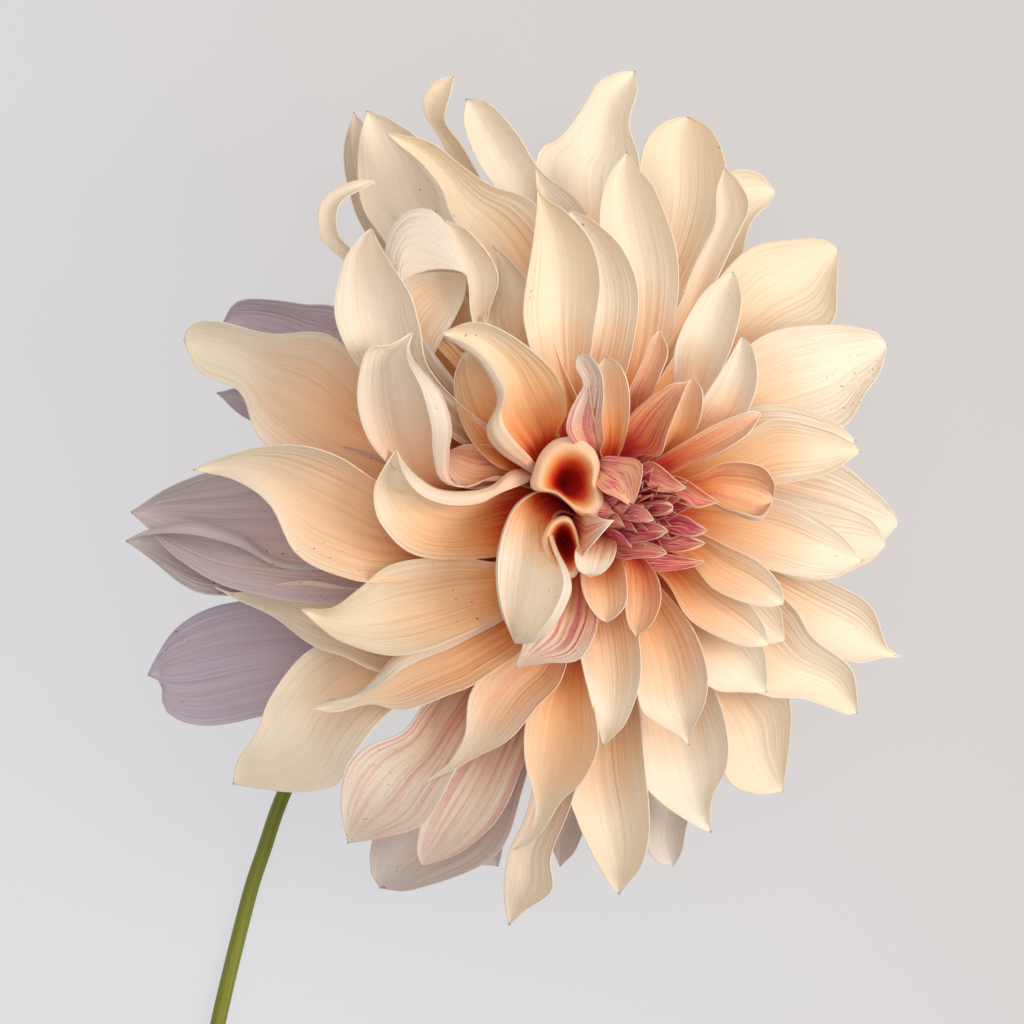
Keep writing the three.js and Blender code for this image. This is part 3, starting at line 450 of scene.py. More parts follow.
MIDDLE = (
    Petal((396, 450, 120), 30, 42, pitch=20, cup=30, right=150, warm=0.85, edges=(
        ((548, 476), (515, 470), (490, 487), (462, 492), (436, 489), (416, 476), (404, 463)),
        ((550, 535), (500, 556), (420, 556), (382, 525), (374, 492), (384, 468)))),
    Petal((413, 332, 119), 30, 46, pitch=0, cup=30, right=150, warm=0.8, cool=0.15, edges=(
        ((545, 505), (440, 494), (380, 455), (358, 405), (366, 352), (390, 345)),
        ((545, 490), (500, 476), (470, 487), (450, 479), (449, 450), (451, 425), (440, 392), (417, 365),
         (409, 348)))),
    Petal((301, 609, 106), 30, 42, pitch=-5, cup=30, warm=0.75, edges=(
        ((520, 560), (450, 557), (392, 565), (358, 590), (332, 608)),
        ((520, 600), (470, 632), (400, 655), (345, 643), (318, 625)))),
    Petal((309, 708, 94), 30, 40, pitch=-5, cup=30, right=190, warm=0.9, edges=(
        ((520, 590), (452, 630), (400, 652), (378, 675), (358, 694), (330, 702)),
        ((540, 630), (480, 680), (450, 694), (405, 710), (370, 704), (335, 712)))),
    Petal((427, 781, 86), 26, 36, pitch=-20, cup=40, streak=0.2, edges=(
        ((535, 628), (492, 664), (470, 695), (465, 735), (450, 762)),
        ((566, 665), (536, 708), (508, 740), (476, 757), (451, 771)))),
    Petal((513, 850, 74), 28, 40, pitch=-30, cup=45, warm=0.9, edges=(
        ((565, 640), (534, 697), (525, 730), (526, 765), (535, 800), (533, 826), (524, 841)),
        ((586, 650), (593, 700), (598, 745), (583, 780), (562, 800), (547, 824), (532, 842)))),
    Petal((603, 746, 91), 22, 52, pitch=-30, edges=(
        ((572, 600), (580, 655), (592, 705)), ((630, 600), (641, 670), (628, 718), (614, 736)))),
    Petal((689, 745, 80), 26, 46, pitch=-30, cup=30, streak=0.15, edges=(
        ((622, 610), (634, 670), (641, 708), (658, 723), (678, 735)),
        ((680, 610), (705, 660), (706, 698), (694, 727)))),
    Petal((766, 692, 74), 28, 42, pitch=-30, edges=(
        ((690, 570), (740, 605), (762, 645), (767, 675)), ((650, 600), (680, 655), (712, 688), (742, 692)))),
    Petal((785, 640, 72), 26, 44, pitch=-30, edges=(
        ((700, 540), (750, 566), (778, 605)), ((680, 580), (715, 625), (755, 645)))),
    Petal((538, 190, 110), 28, 46, pitch=30, cup=40, warm=0.55, edges=(
        ((545, 400), (528, 340), (524, 305), (533, 245), (537, 212)),
        ((588, 390), (594, 330), (600, 280), (590, 240), (566, 212), (548, 200)))),
    Petal((569, 210, 92), 30, 42, pitch=10, cup=30, warm=0.6, edges=(
        ((565, 400), (580, 330), (582, 270), (571, 228)),
        ((618, 400), (634, 340), (638, 290), (622, 248), (592, 220)))),
    Petal((627, 152, 76), 28, 36, pitch=0, cup=30, warm=0.6, edges=(
        ((605, 380), (612, 300), (600, 225), (607, 180)),
        ((655, 380), (676, 310), (676, 250), (655, 190), (640, 172)))),
    Petal((733, 272, 86), 26, 44, pitch=0, cup=30, warm=0.7, edges=(
        ((665, 410), (676, 345), (698, 300), (718, 280)), ((692, 415), (726, 360), (741, 310), (739, 284)))),
    Petal((467, 274, 96), 24, 48, pitch=0, cup=20, keel=0, crease=0, warm=1, edges=(
        ((500, 460), (440, 420), (405, 370), (388, 310), (398, 283), (430, 272)),
        ((520, 445), (450, 405), (427, 384), (436, 350), (455, 318), (465, 295)))),
    Petal((452, 285, 84), 24, 40, pitch=0, cup=20, warm=1.3, edges=(
        ((500, 450), (440, 410), (428, 350), (436, 310)), ((540, 440), (500, 390), (478, 330), (468, 300)))),
    Petal((493, 246, 95), 30, 44, pitch=10, cup=40, warm=0.8, edges=(
        ((540, 440), (500, 375), (484, 322), (497, 295), (498, 270)),
        ((590, 430), (560, 360), (540, 300), (512, 262)))),
    Petal((469, 277, 110), 30, 38, pitch=0, cup=-30, keel=20, crease=0, warm=0.5, cool=0.1, edges=(
        ((470, 430), (398, 340), (384, 270), (392, 228), (414, 209), (438, 214), (456, 244)),
        ((500, 430), (424, 340), (400, 290), (406, 279), (430, 270), (455, 270)))),
    Petal((447, 452, 108), 24, 50, pitch=0, cup=30, streak=0.7, warm=1.2, edges=(
        ((540, 465), (515, 450), (490, 445), (465, 445)), ((540, 485), (500, 486), (465, 488), (448, 472)))),
    Petal((372, 228, 113), 28, 50, pitch=12, cup=30, crease=20, pleat=0.8, warm=0.5, cool=0.1, edges=(
        ((440, 430), (370, 380), (336, 320), (343, 265), (360, 238)),
        ((480, 420), (430, 370), (420, 330), (410, 295), (392, 266), (378, 242)))),
    Petal((860, 452, 72), 30, 36, pitch=-25, edges=(
        ((720, 450), (770, 420), (820, 428), (848, 440)), ((710, 500), (770, 486), (825, 474)))),
    Petal((862, 560, 62), 30, 34, pitch=-30, edges=(
        ((715, 500), (780, 500), (835, 530)), ((700, 540), (770, 570), (830, 578)))),
)
OUTER = (
    Petal((184, 340, 86), 40, 18, pitch=-10, cup=25, warm=0.85, edges=(
        ((470, 440), (380, 385), (330, 336), (270, 334), (215, 321), (190, 326)),
        ((480, 510), (380, 490), (300, 468), (258, 435), (240, 392), (200, 372)))),
    Petal((193, 470, 102), 36, 30, pitch=-10, right=40, warm=0.9, edges=(
        ((490, 500), (400, 492), (340, 458), (300, 446), (255, 448), (215, 460)),
        ((500, 560), (390, 582), (335, 574), (295, 552), (270, 505), (235, 480)))),
    Petal((215, 587, 88), 32, 24, pitch=0, warm=0.8, edges=(
        ((480, 560), (400, 590), (352, 588), (310, 581), (274, 585), (235, 593)),
        ((490, 600), (400, 670), (340, 655), (310, 644), (274, 617), (238, 600)))),
    Petal((131, 512, 76), 40, 12, pitch=0, cool=0.6, streak=0.2, warm=0.75, edges=(
        ((480, 500), (360, 450), (280, 452), (215, 470), (168, 488)),
        ((470, 540), (350, 600), (240, 590), (180, 560), (150, 530)))),
    Petal((126, 541, 76), 30, 16, pitch=0, right=150, cool=0.6, warm=0.75, edges=(
        ((480, 530), (340, 560), (280, 560), (240, 535), (195, 523), (150, 530)),
        ((470, 560), (340, 600), (250, 596), (205, 594), (180, 583), (152, 560)))),
    Petal((148, 675, 60), 44, 8, pitch=0, cup=15, cool=0.85, streak=0.2, warm=0.75, edges=(
        ((480, 560), (340, 600), (262, 600), (212, 608), (176, 629), (156, 658)),
        ((470, 600), (400, 680), (300, 705), (256, 717), (215, 725), (185, 722), (164, 708), (162, 684)))),
    Petal((233, 784, 66), 42, 16, pitch=-20, cup=15, warm=0.75, edges=(
        ((480, 570), (370, 630), (310, 650), (272, 695), (256, 734), (238, 760)),
        ((500, 620), (440, 675), (395, 707), (371, 731), (348, 764), (337, 785), (295, 792), (258, 788)))),
    Petal((348, 843, 64), 34, 20, pitch=-30, cup=15, streak=0.6, warm=0.75, edges=(
        ((500, 620), (452, 672), (422, 707), (402, 732), (367, 747), (347, 770), (341, 805)),
        ((530, 640), (470, 740), (440, 800), (420, 826), (380, 838)))),
    Petal((422, 866, 60), 30, 22, pitch=-30, cup=20, streak=0.6, warm=0.75, edges=(
        ((520, 620), (465, 730), (430, 790), (417, 845)), ((560, 660), (530, 745), (500, 815), (460, 852)))),
    Petal((380, 888, 40), 36, 4, pitch=-20, cup=15, cool=0.5, warm=0.75, edges=(
        ((480, 650), (410, 780), (375, 835), (371, 870)), ((545, 680), (522, 790), (494, 856), (415, 889)))),
    Petal((509, 925, 48), 26, 18, pitch=-30, streak=0.3, warm=0.75, edges=(
        ((545, 680), (530, 800), (510, 850), (504, 890)),
        ((590, 720), (572, 800), (551, 855), (552, 890), (525, 910)))),
    Petal((619, 894, 46), 30, 18, pitch=-30, cup=30, warm=0.75, edges=(
        ((575, 650), (562, 760), (578, 822), (600, 868), (611, 885)),
        ((630, 660), (646, 780), (649, 830), (642, 864), (627, 884)))),
    Petal((673, 866, 26), 28, 4, pitch=-25, cool=0.3, warm=0.75, edges=(
        ((620, 680), (640, 780), (644, 835), (655, 860)), ((670, 680), (695, 780), (686, 828), (682, 852)))),
    Petal((711, 832, 44), 32, 22, pitch=-30, cup=30, warm=0.75, edges=(
        ((605, 610), (626, 700), (630, 745), (640, 778), (662, 803), (695, 825)),
        ((670, 610), (714, 690), (727, 735), (726, 768), (713, 795), (710, 816)))),
    Petal((783, 791, 30), 32, 14, pitch=-30, warm=0.75, edges=(
        ((690, 600), (775, 685), (790, 705), (789, 745), (785, 775)),
        ((650, 640), (710, 735), (728, 780), (755, 794)))),
    Petal((857, 713, 40), 34, 22, pitch=-30, cup=25, warm=0.75, edges=(
        ((700, 540), (786, 600), (812, 637), (849, 666), (857, 694)),
        ((680, 600), (730, 675), (768, 696), (800, 698), (825, 706), (846, 714)))),
    Petal((902, 658, 28), 30, 12, pitch=-20, cup=30, warm=0.75, edges=(
        ((710, 530), (825, 580), (870, 606), (886, 645)), ((700, 570), (790, 630), (850, 661), (885, 657)))),
    Petal((886, 545, 34), 34, 16, pitch=-40, warm=0.75, edges=(
        ((710, 480), (820, 500), (870, 520)), ((710, 540), (800, 580), (862, 565)))),
    Petal((898, 524, 20), 34, 6, pitch=-40, warm=0.75, edges=(
        ((710, 450), (820, 455), (875, 492), (893, 513)), ((710, 520), (810, 560), (875, 545)))),
    Petal((855, 440, 50), 32, 26, pitch=-30, warm=0.75, edges=(
        ((700, 430), (770, 405), (830, 420)), ((710, 470), (780, 470), (830, 460)))),
    Petal((887, 345, 34), 38, 12, pitch=-20, cup=20, warm=0.75, edges=(
        ((690, 400), (760, 338), (820, 325), (872, 331)),
        ((710, 450), (800, 440), (845, 425), (864, 395), (880, 372)))),
    Petal((838, 250, 24), 40, 4, pitch=-20, warm=0.75, edges=(
        ((680, 330), (742, 254), (790, 240), (824, 240)), ((720, 390), (790, 345), (831, 324), (837, 285)))),
    Petal((776, 192, 16), 26, -6, pitch=-20, warm=0.75, edges=(
        ((680, 260), (720, 180), (755, 172)), ((720, 300), (750, 225), (768, 205)))),
    Petal((635, 71, 48), 36, 10, pitch=-10, cup=25, warm=0.7, edges=(
        ((560, 300), (538, 195), (539, 152), (560, 138), (580, 112), (597, 84), (617, 73)),
        ((640, 290), (640, 170), (629, 125), (637, 92)))),
    Petal((688, 117, 34), 34, 4, pitch=0, warm=0.75, edges=(
        ((630, 280), (640, 165), (652, 133), (670, 120)), ((690, 290), (726, 210), (723, 155), (708, 127)))),
    Petal((725, 168, 66), 28, 24, pitch=20, cup=50, warm=0.75, edges=(
        ((665, 330), (695, 265), (715, 225), (717, 190)), ((690, 330), (735, 240), (749, 205), (738, 181)))),
    Petal((466, 99, 62), 34, 14, pitch=0, warm=0.7, edges=(
        ((545, 320), (510, 215), (478, 162), (464, 125)),
        ((600, 300), (585, 212), (540, 170), (518, 135), (490, 104)))),
    Petal((454, 76, 50), 24, 0, pitch=20, warm=0.7, edges=(
        ((500, 300), (450, 160), (425, 115), (424, 96), (436, 81)),
        ((540, 300), (470, 160), (445, 122), (450, 96)))),
    Petal((387, 133, 75), 40, 14, pitch=10, left=140, warm=0.7, edges=(
        ((570, 320), (560, 240), (530, 200), (492, 186), (462, 166), (430, 142)),
        ((540, 360), (480, 290), (445, 225), (438, 195), (420, 168), (398, 146)))),
    Petal((367, 111, 58), 38, 8, pitch=10, warm=0.7, edges=(
        ((450, 340), (388, 246), (363, 208), (358, 170), (360, 138)),
        ((520, 300), (450, 190), (425, 145), (390, 119)))),
    Petal((354, 112, 50), 30, 4, pitch=10, cool=0.2, warm=0.7, edges=(
        ((450, 350), (370, 240), (349, 190), (344, 148)), ((480, 320), (400, 230), (385, 190), (375, 140)))),
    Petal((377, 181, 92), 14, 30, pitch=10, warm=0.75, edges=(
        ((440, 350), (345, 262), (320, 235), (322, 200), (350, 182)),
        ((450, 340), (352, 250), (337, 228), (340, 203), (360, 190)))),
    Petal((443, 220, 106), 26, 44, pitch=30, cup=60, warm=0.75, edges=(
        ((520, 400), (476, 330), (468, 280), (455, 244)), ((530, 380), (488, 330), (498, 275), (470, 232)))),
    Petal((222, 325, 56), 42, 2, pitch=0, cool=0.75, streak=0.5, warm=0.75, edges=(
        ((480, 440), (360, 320), (300, 304), (252, 299), (233, 305)),
        ((470, 500), (330, 400), (290, 350), (245, 332)))),
    Petal((498, 866, 34), 34, 2, pitch=-10, cool=0.55, warm=0.75, edges=(
        ((455, 640), (462, 740), (460, 800), (464, 858)), ((540, 640), (528, 720), (512, 790), (501, 856)))),
    Petal((560, 866, 40), 30, 4, pitch=-15, cool=0.4, warm=0.75, edges=(
        ((555, 700), (545, 780), (546, 830)), ((600, 700), (598, 780), (578, 845)))),
    Petal((217, 393, 56), 30, 2, pitch=0, cool=0.8, warm=0.75, edges=(
        ((480, 470), (330, 400), (260, 385)), ((470, 520), (320, 440), (250, 420)))),
)
# The larger young florets of the eye
HEART = (
    Petal((632, 507, 121), 8, 60, pitch=0, cup=35, warm=1.3, edges=(
        ((598, 462), (620, 457), (641, 463), (640, 486)), ((590, 478), (602, 491), (618, 498)))),
    Petal((686, 488, 117), 8, 60, pitch=10, cup=45, warm=1.1, edges=(
        ((640, 466), (655, 463), (675, 479)), ((638, 480), (652, 490), (672, 492)))),
    Petal((719, 502, 108), 7, 50, pitch=0, cup=70, warm=0.9, edges=(
        ((665, 478), (686, 480), (704, 492)), ((660, 492), (685, 500), (697, 508)))),
    Petal((654, 520, 125), 6, 60, pitch=10, cup=40, edges=(
        ((605, 495), (625, 501), (645, 509)), ((600, 511), (620, 519), (643, 522)))),
    Petal((668, 531, 123), 6, 60, pitch=10, cup=40, edges=(
        ((608, 517), (635, 520), (658, 524)), ((606, 538), (630, 542), (655, 539)))),
    Petal((667, 553, 116), 6, 58, pitch=10, cup=40, edges=(
        ((612, 538), (640, 540), (658, 546)), ((614, 556), (638, 558), (657, 557)))),
    Petal((705, 561, 104), 7, 50, pitch=0, cup=50, edges=(
        ((635, 550), (665, 554), (690, 559)), ((630, 564), (658, 571), (688, 568)))),
    Petal((705, 543, 112), 6, 55, pitch=0, cup=80, edges=(
        ((660, 537), (682, 534), (697, 539)), ((660, 547), (680, 552), (697, 548)))),
    Petal((707, 530, 115), 6, 55, pitch=0, cup=80, edges=(
        ((658, 518), (682, 515), (700, 525)), ((660, 530), (686, 537), (700, 535)))),
    Petal((673, 507, 124), 5, 65, pitch=20, cup=90, edges=(
        ((640, 503), (655, 503), (668, 502)), ((640, 512), (655, 516), (670, 513)))),
)
# Where the tips of the petals that bear on the surface are in plan
RESTING = ((44, -38), (52, 22), (24, 72), (-30, 88), (-86, 58), (-104, -4), (-64, -77), (-22, -84))


class Wire:
    """A socket of a shader whose operators add the Math nodes that work them out."""

    def __init__(self, recipe: "Recipe", socket: bpy.types.NodeSocket) -> None:
        """Keeps the socket and the recipe that it belongs to."""
        self.recipe = recipe
        self.socket = socket

    def _maths(self, operation: str, *ends: "Wire | float") -> "Wire":
        """A Math node of that operation on wires or numbers."""
        return self.recipe.node("ShaderNodeMath", {"operation": operation}, dict(enumerate(ends)))

    def __add__(self, other: "Wire | float") -> "Wire":
        """The sum."""
        return self._maths("ADD", self, other)

    __radd__ = __add__

    def __sub__(self, other: "Wire | float") -> "Wire":
        """The difference."""
        return self._maths("SUBTRACT", self, other)

    def __rsub__(self, other: float) -> "Wire":
        """A number less this."""
        return self._maths("SUBTRACT", other, self)

    def __mul__(self, other: "Wire | float") -> "Wire":
        """The product."""
        return self._maths("MULTIPLY", self, other)

    __rmul__ = __mul__

    def __truediv__(self, other: "Wire | float") -> "Wire":
        """The quotient."""
        return self._maths("DIVIDE", self, other)

    def __rtruediv__(self, other: float) -> "Wire":
        """A number over this."""
        return self._maths("DIVIDE", other, self)

    def __pow__(self, other: float) -> "Wire":
        """The power."""
        return self._maths("POWER", self, other)

    def __abs__(self) -> "Wire":
        """The size without its sign."""
        return self._maths("ABSOLUTE", self)

    def within(self, low: float, high: float) -> "Wire":
        """A smooth step from 0 at low to 1 at high."""
        ends = {"Value": self, "From Min": low, "From Max": high}
        return self.recipe.node("ShaderNodeMapRange", {"interpolation_type": "SMOOTHSTEP"}, ends)


class Recipe:
    """A material in the making: its nodes come from one method."""

    def __init__(self, name: str) -> None:
        """An empty material of that name."""
        self.material = bpy.data.materials.new(name)
        self.material.use_nodes = True
        self.tree = self.material.node_tree
        self.tree.nodes.clear()

    def node(self, kind: str, settings: Named = None, inputs: Named = None, output: int | str = 0) -> Wire:
        """Adds a node, sets what it does, then feeds its sockets.

        Args:
            kind: the node's type.
            settings: its properties, with a ramp's stops as "stops".
            inputs: a value or a wire for each socket, by its name or number.
            output: the name or number of the socket to give back.

        Returns:
            The wire from that output.
        """
        node = self.tree.nodes.new(kind)
        for key, value in (settings or {}).items():
            if key == "stops":
                elements = node.color_ramp.elements
                while len(elements) < len(value):
                    elements.new(0.5)
                for element, (place, colour) in zip(elements, value):
                    element.position, element.color = place, colour
            else:
                setattr(node, key, value)
        for key, value in (inputs or {}).items():
            if isinstance(value, Wire):
                self.tree.links.new(value.socket, node.inputs[key])
            else:
                node.inputs[key].default_value = value
        return Wire(self, node.outputs[output])

    def mix(self, share: Wire | float, first: Any, code: str, blend: str = "MIX") -> Wire:
        """A colour mixed by a share with one given by its hex digits."""
        settings = {"data_type": "RGBA", "blend_type": blend}
        return self.node("ShaderNodeMix", settings, {0: share, 6: first, 7: paint(code)}, 2)

    def ramp(self, along: Wire, stops: Sequence[tuple[float, str]]) -> Wire:
        """A colour along a value, from stops of a place and hex digits."""
        colours = [(at, paint(code)) for at, code in stops]
        return self.node("ShaderNodeValToRGB", {"stops": colours}, {"Fac": along})

    def noise(self, place: Wire, scale: float, detail: float = 2) -> Wire:
        """Soft noise at a place."""
        return self.node("ShaderNodeTexNoise", None, {"Vector": place, "Scale": scale, "Detail": detail})

    def streaks(self, x: Wire, y: Wire, z: Wire, scale: float, detail: float) -> Wire:
        """Noise over a blade, drawn out the way in which its coordinate grows slowly."""
        return self.noise(self.node("ShaderNodeCombineXYZ", None, {0: x, 1: y, 2: z}), scale, detail)

    def read(self, *names: str) -> list[Wire]:
        """Values kept on the mesh."""
        return [self.node("ShaderNodeAttribute", {"attribute_name": name}, None, "Fac") for name in names]

    def finish(self, inputs: dict[str, Any]) -> bpy.types.Material:
        """Closes the material with a Principled shader.

        Args:
            inputs: a value or a wire for each of the shader's sockets, by its name.

        Returns:
            The material.
        """
        shader = self.node("ShaderNodeBsdfPrincipled", None, inputs)
        output = self.tree.nodes.new("ShaderNodeOutputMaterial")
        self.tree.links.new(shader.socket, output.inputs["Surface"])
        return self.material


@dataclass(frozen=True)
class PetalFinish:
    """Satin petal: red-orange in the throat, then apricot to cream, with pink streaks where it is old."""

    # darkest red: the petals' red base with painted shade where the throat is hidden
    shaded_red: str = "A3160F"
    throat: str = "DC4A22"
    orange: str = "F09D5C"
    apricot: str = "F7C596"
    peach: str = "F9DABA"
    cream: str = "FBEDD8"
    reverse: str = "F3DFCA"
    sunny: str = "FCF0D8"
    pink: str = "CE4A68"
    # grey lavender: partly the petals' own tint, partly painted bluish shade
    lavender_and_shade: str = "B3A8C4"
    speck: str = "6E4A2C"

    def material(self) -> bpy.types.Material:
        """The finish's nodes.

        The mesh says where a point is along and across its blade and whether it is at the back, and
        for each petal its tint, the share that is warm, how streaked it is, how much lavender and painted
        bluish shade it takes, and where its root is hidden.

        Returns:
            The material.
        """
        r = Recipe("satin_petal")
        along, across, tint, warm, streak, cool, root, back = r.read(
            "along", "across", "tint", "warm", "streak", "cool", "root", "back"
        )
        place = r.node("ShaderNodeTexCoord", None, None, "Object")
        # Base colour along the blade, shifted by lengthwise lines and broad patches, and paler at the
        # margins;
        # the darkest red at the root is the red base with painted shade far down in the throat
        lines = r.streaks(across * 7 + tint * 40, along * 0.9, tint * 17, 3.2, 2)
        shift = (along - root) / ((1 - root) * warm) + (lines - 0.5) * 0.22 + (r.noise(place, 40) - 0.5) * 0.1
        body = r.ramp(shift + abs(across) ** 2.5 * 0.2 - 0.04, [
            (0.08, self.shaded_red), (0.22, self.throat), (0.36, self.orange), (0.54, self.apricot),
            (0.78, self.peach), (0.96, self.cream),
        ])
        body = r.mix(tint * 0.5 * along.within(0.2, 0.6), body, self.sunny, "MULTIPLY")
        body = r.mix(back * 0.5, body, self.reverse)
        # Pink bands with fine dots, least toward the tip
        bands = r.streaks(across * 3 + tint * 50, along * 0.5, tint * 23, 2.6, 1).within(0.46, 0.62)
        fine = r.streaks(across * 12 + tint * 9, along * 3.5, tint * 5, 4, 2).within(0.42, 0.7)
        dots = r.noise(place, 900, 0).within(0.25, 0.65)
        marks = 0.06 + bands * (0.7 - along.within(0.55, 1.0) * 0.5) + lines.within(0.5, 0.7) * 0.15
        marks = (marks + fine * dots * 0.3) * (1 - along.within(0.85, 1.05) * 0.4)
        body = r.mix(streak * marks, body, self.pink)
        # Lavender on petals that lie in shade, partly their own tint and partly painted bluish shade; rare
        # brown specks and a thin pale rim
        body = r.mix(cool * (0.75 + lines.within(0.35, 0.7) * 0.25), body, self.lavender_and_shade)
        specks = r.noise(place, 1150, 0).within(0.79, 0.81) * r.noise(place, 38, 1).within(0.62, 0.7)
        body = r.mix(specks * 0.8, body, self.speck)
        body = r.mix(abs(across).within(0.95, 1.0) * 0.05, body, self.cream)
        # Fine veins and broad ribs that fade at the tip
        veins = r.streaks(across * 26 + tint * 31, along * 1.2, tint * 3, 3, 1)
        ribs = r.streaks(across * 4 + tint * 13, along * 0.5, tint * 7, 2.4, 1)
        height = veins * 0.5 + lines * 0.6 + ribs * 2.4
        height = height * (1 - along.within(0.88, 0.98))
        normal = r.node("ShaderNodeBump", None, {"Strength": 0.45, "Distance": 0.0008, "Height": height})
        return r.finish({
            "Base Color": body, "Roughness": 0.62 - lines * 0.2, "Specular IOR Level": 0.35, "Normal": normal,
        })


@dataclass(frozen=True)
class FloretFinish:
    """Young florets: rose and magenta with apricot streaks and pale margins."""

    plum: str = "A8285C"
    magenta: str = "D04C7A"
    rose: str = "F0908C"
    straw: str = "F9C898"
    pale: str = "FBDFC0"

    def material(self) -> bpy.types.Material:
        """The finish's nodes, which read the along, across and tint values of the mesh.

        Returns:
            The material.
        """
        r = Recipe("young_floret")
        along, across, tint = r.read("along", "across", "tint")
        lines = r.streaks(across * 4 + tint * 30, along * 1.6, tint * 11, 3, 4)
        body = r.ramp(
            lines + (tint - 0.6) * 0.2 + (along - 0.6) * 0.1,
            [(0.32, self.plum), (0.45, self.magenta), (0.55, self.rose), (0.68, self.straw)],
        )
        body = r.mix((1 - along.within(0.0, 0.5)) * 0.7, body, self.plum)
        body = r.mix(abs(across).within(0.86, 1.0) * 0.3 * along.within(0.3, 0.7), body, self.pale)
        body = r.mix(along.within(0.86, 1.0) * 0.6, body, self.pale)
        return r.finish({
            "Base Color": body, "Roughness": 0.6 - lines * 0.15, "Specular IOR Level": 0.35,
            "Subsurface Weight": 0.15, "Subsurface Radius": (1.0, 0.45, 0.35), "Subsurface Scale": 0.0015,
            "Normal": r.node("ShaderNodeBump", None, {"Strength": 0.4, "Distance": 0.0004, "Height": lines}),
        })


@dataclass(frozen=True)
class GreenFinish:
    """Fresh green skin, streaked lengthwise, with a bloom of another colour toward one end."""

    name: str
    dark: str
    light: str
    far: str
    roughness: float = 0.45

    def material(self) -> bpy.types.Material:
        """The finish's nodes, which read the along, across and tint values of the mesh.

        Returns:
            The material.
        """
        r = Recipe(self.name)
        along, across, tint = r.read("along", "across", "tint")
        place = r.node("ShaderNodeTexCoord", None, None, "Object")
        lines = r.streaks(across * 9 + tint * 20, along * 2, tint, 3, 3)
        body = r.mix(lines.within(0.3, 0.7), paint(self.dark), self.light)
        body = r.mix(along.within(0.35, 1.0) * 0.6, body, self.far)
        body = r.mix(r.noise(place, 600).within(0.55, 0.8) * 0.25, body, self.light)
        return r.finish({
            "Base Color": body, "Roughness": self.roughness + lines * 0.15,
            "Subsurface Weight": 0.1, "Subsurface Scale": 0.001,
            "Normal": r.node("ShaderNodeBump", None, {"Strength": 0.4, "Distance": 0.0004, "Height": lines}),
        })


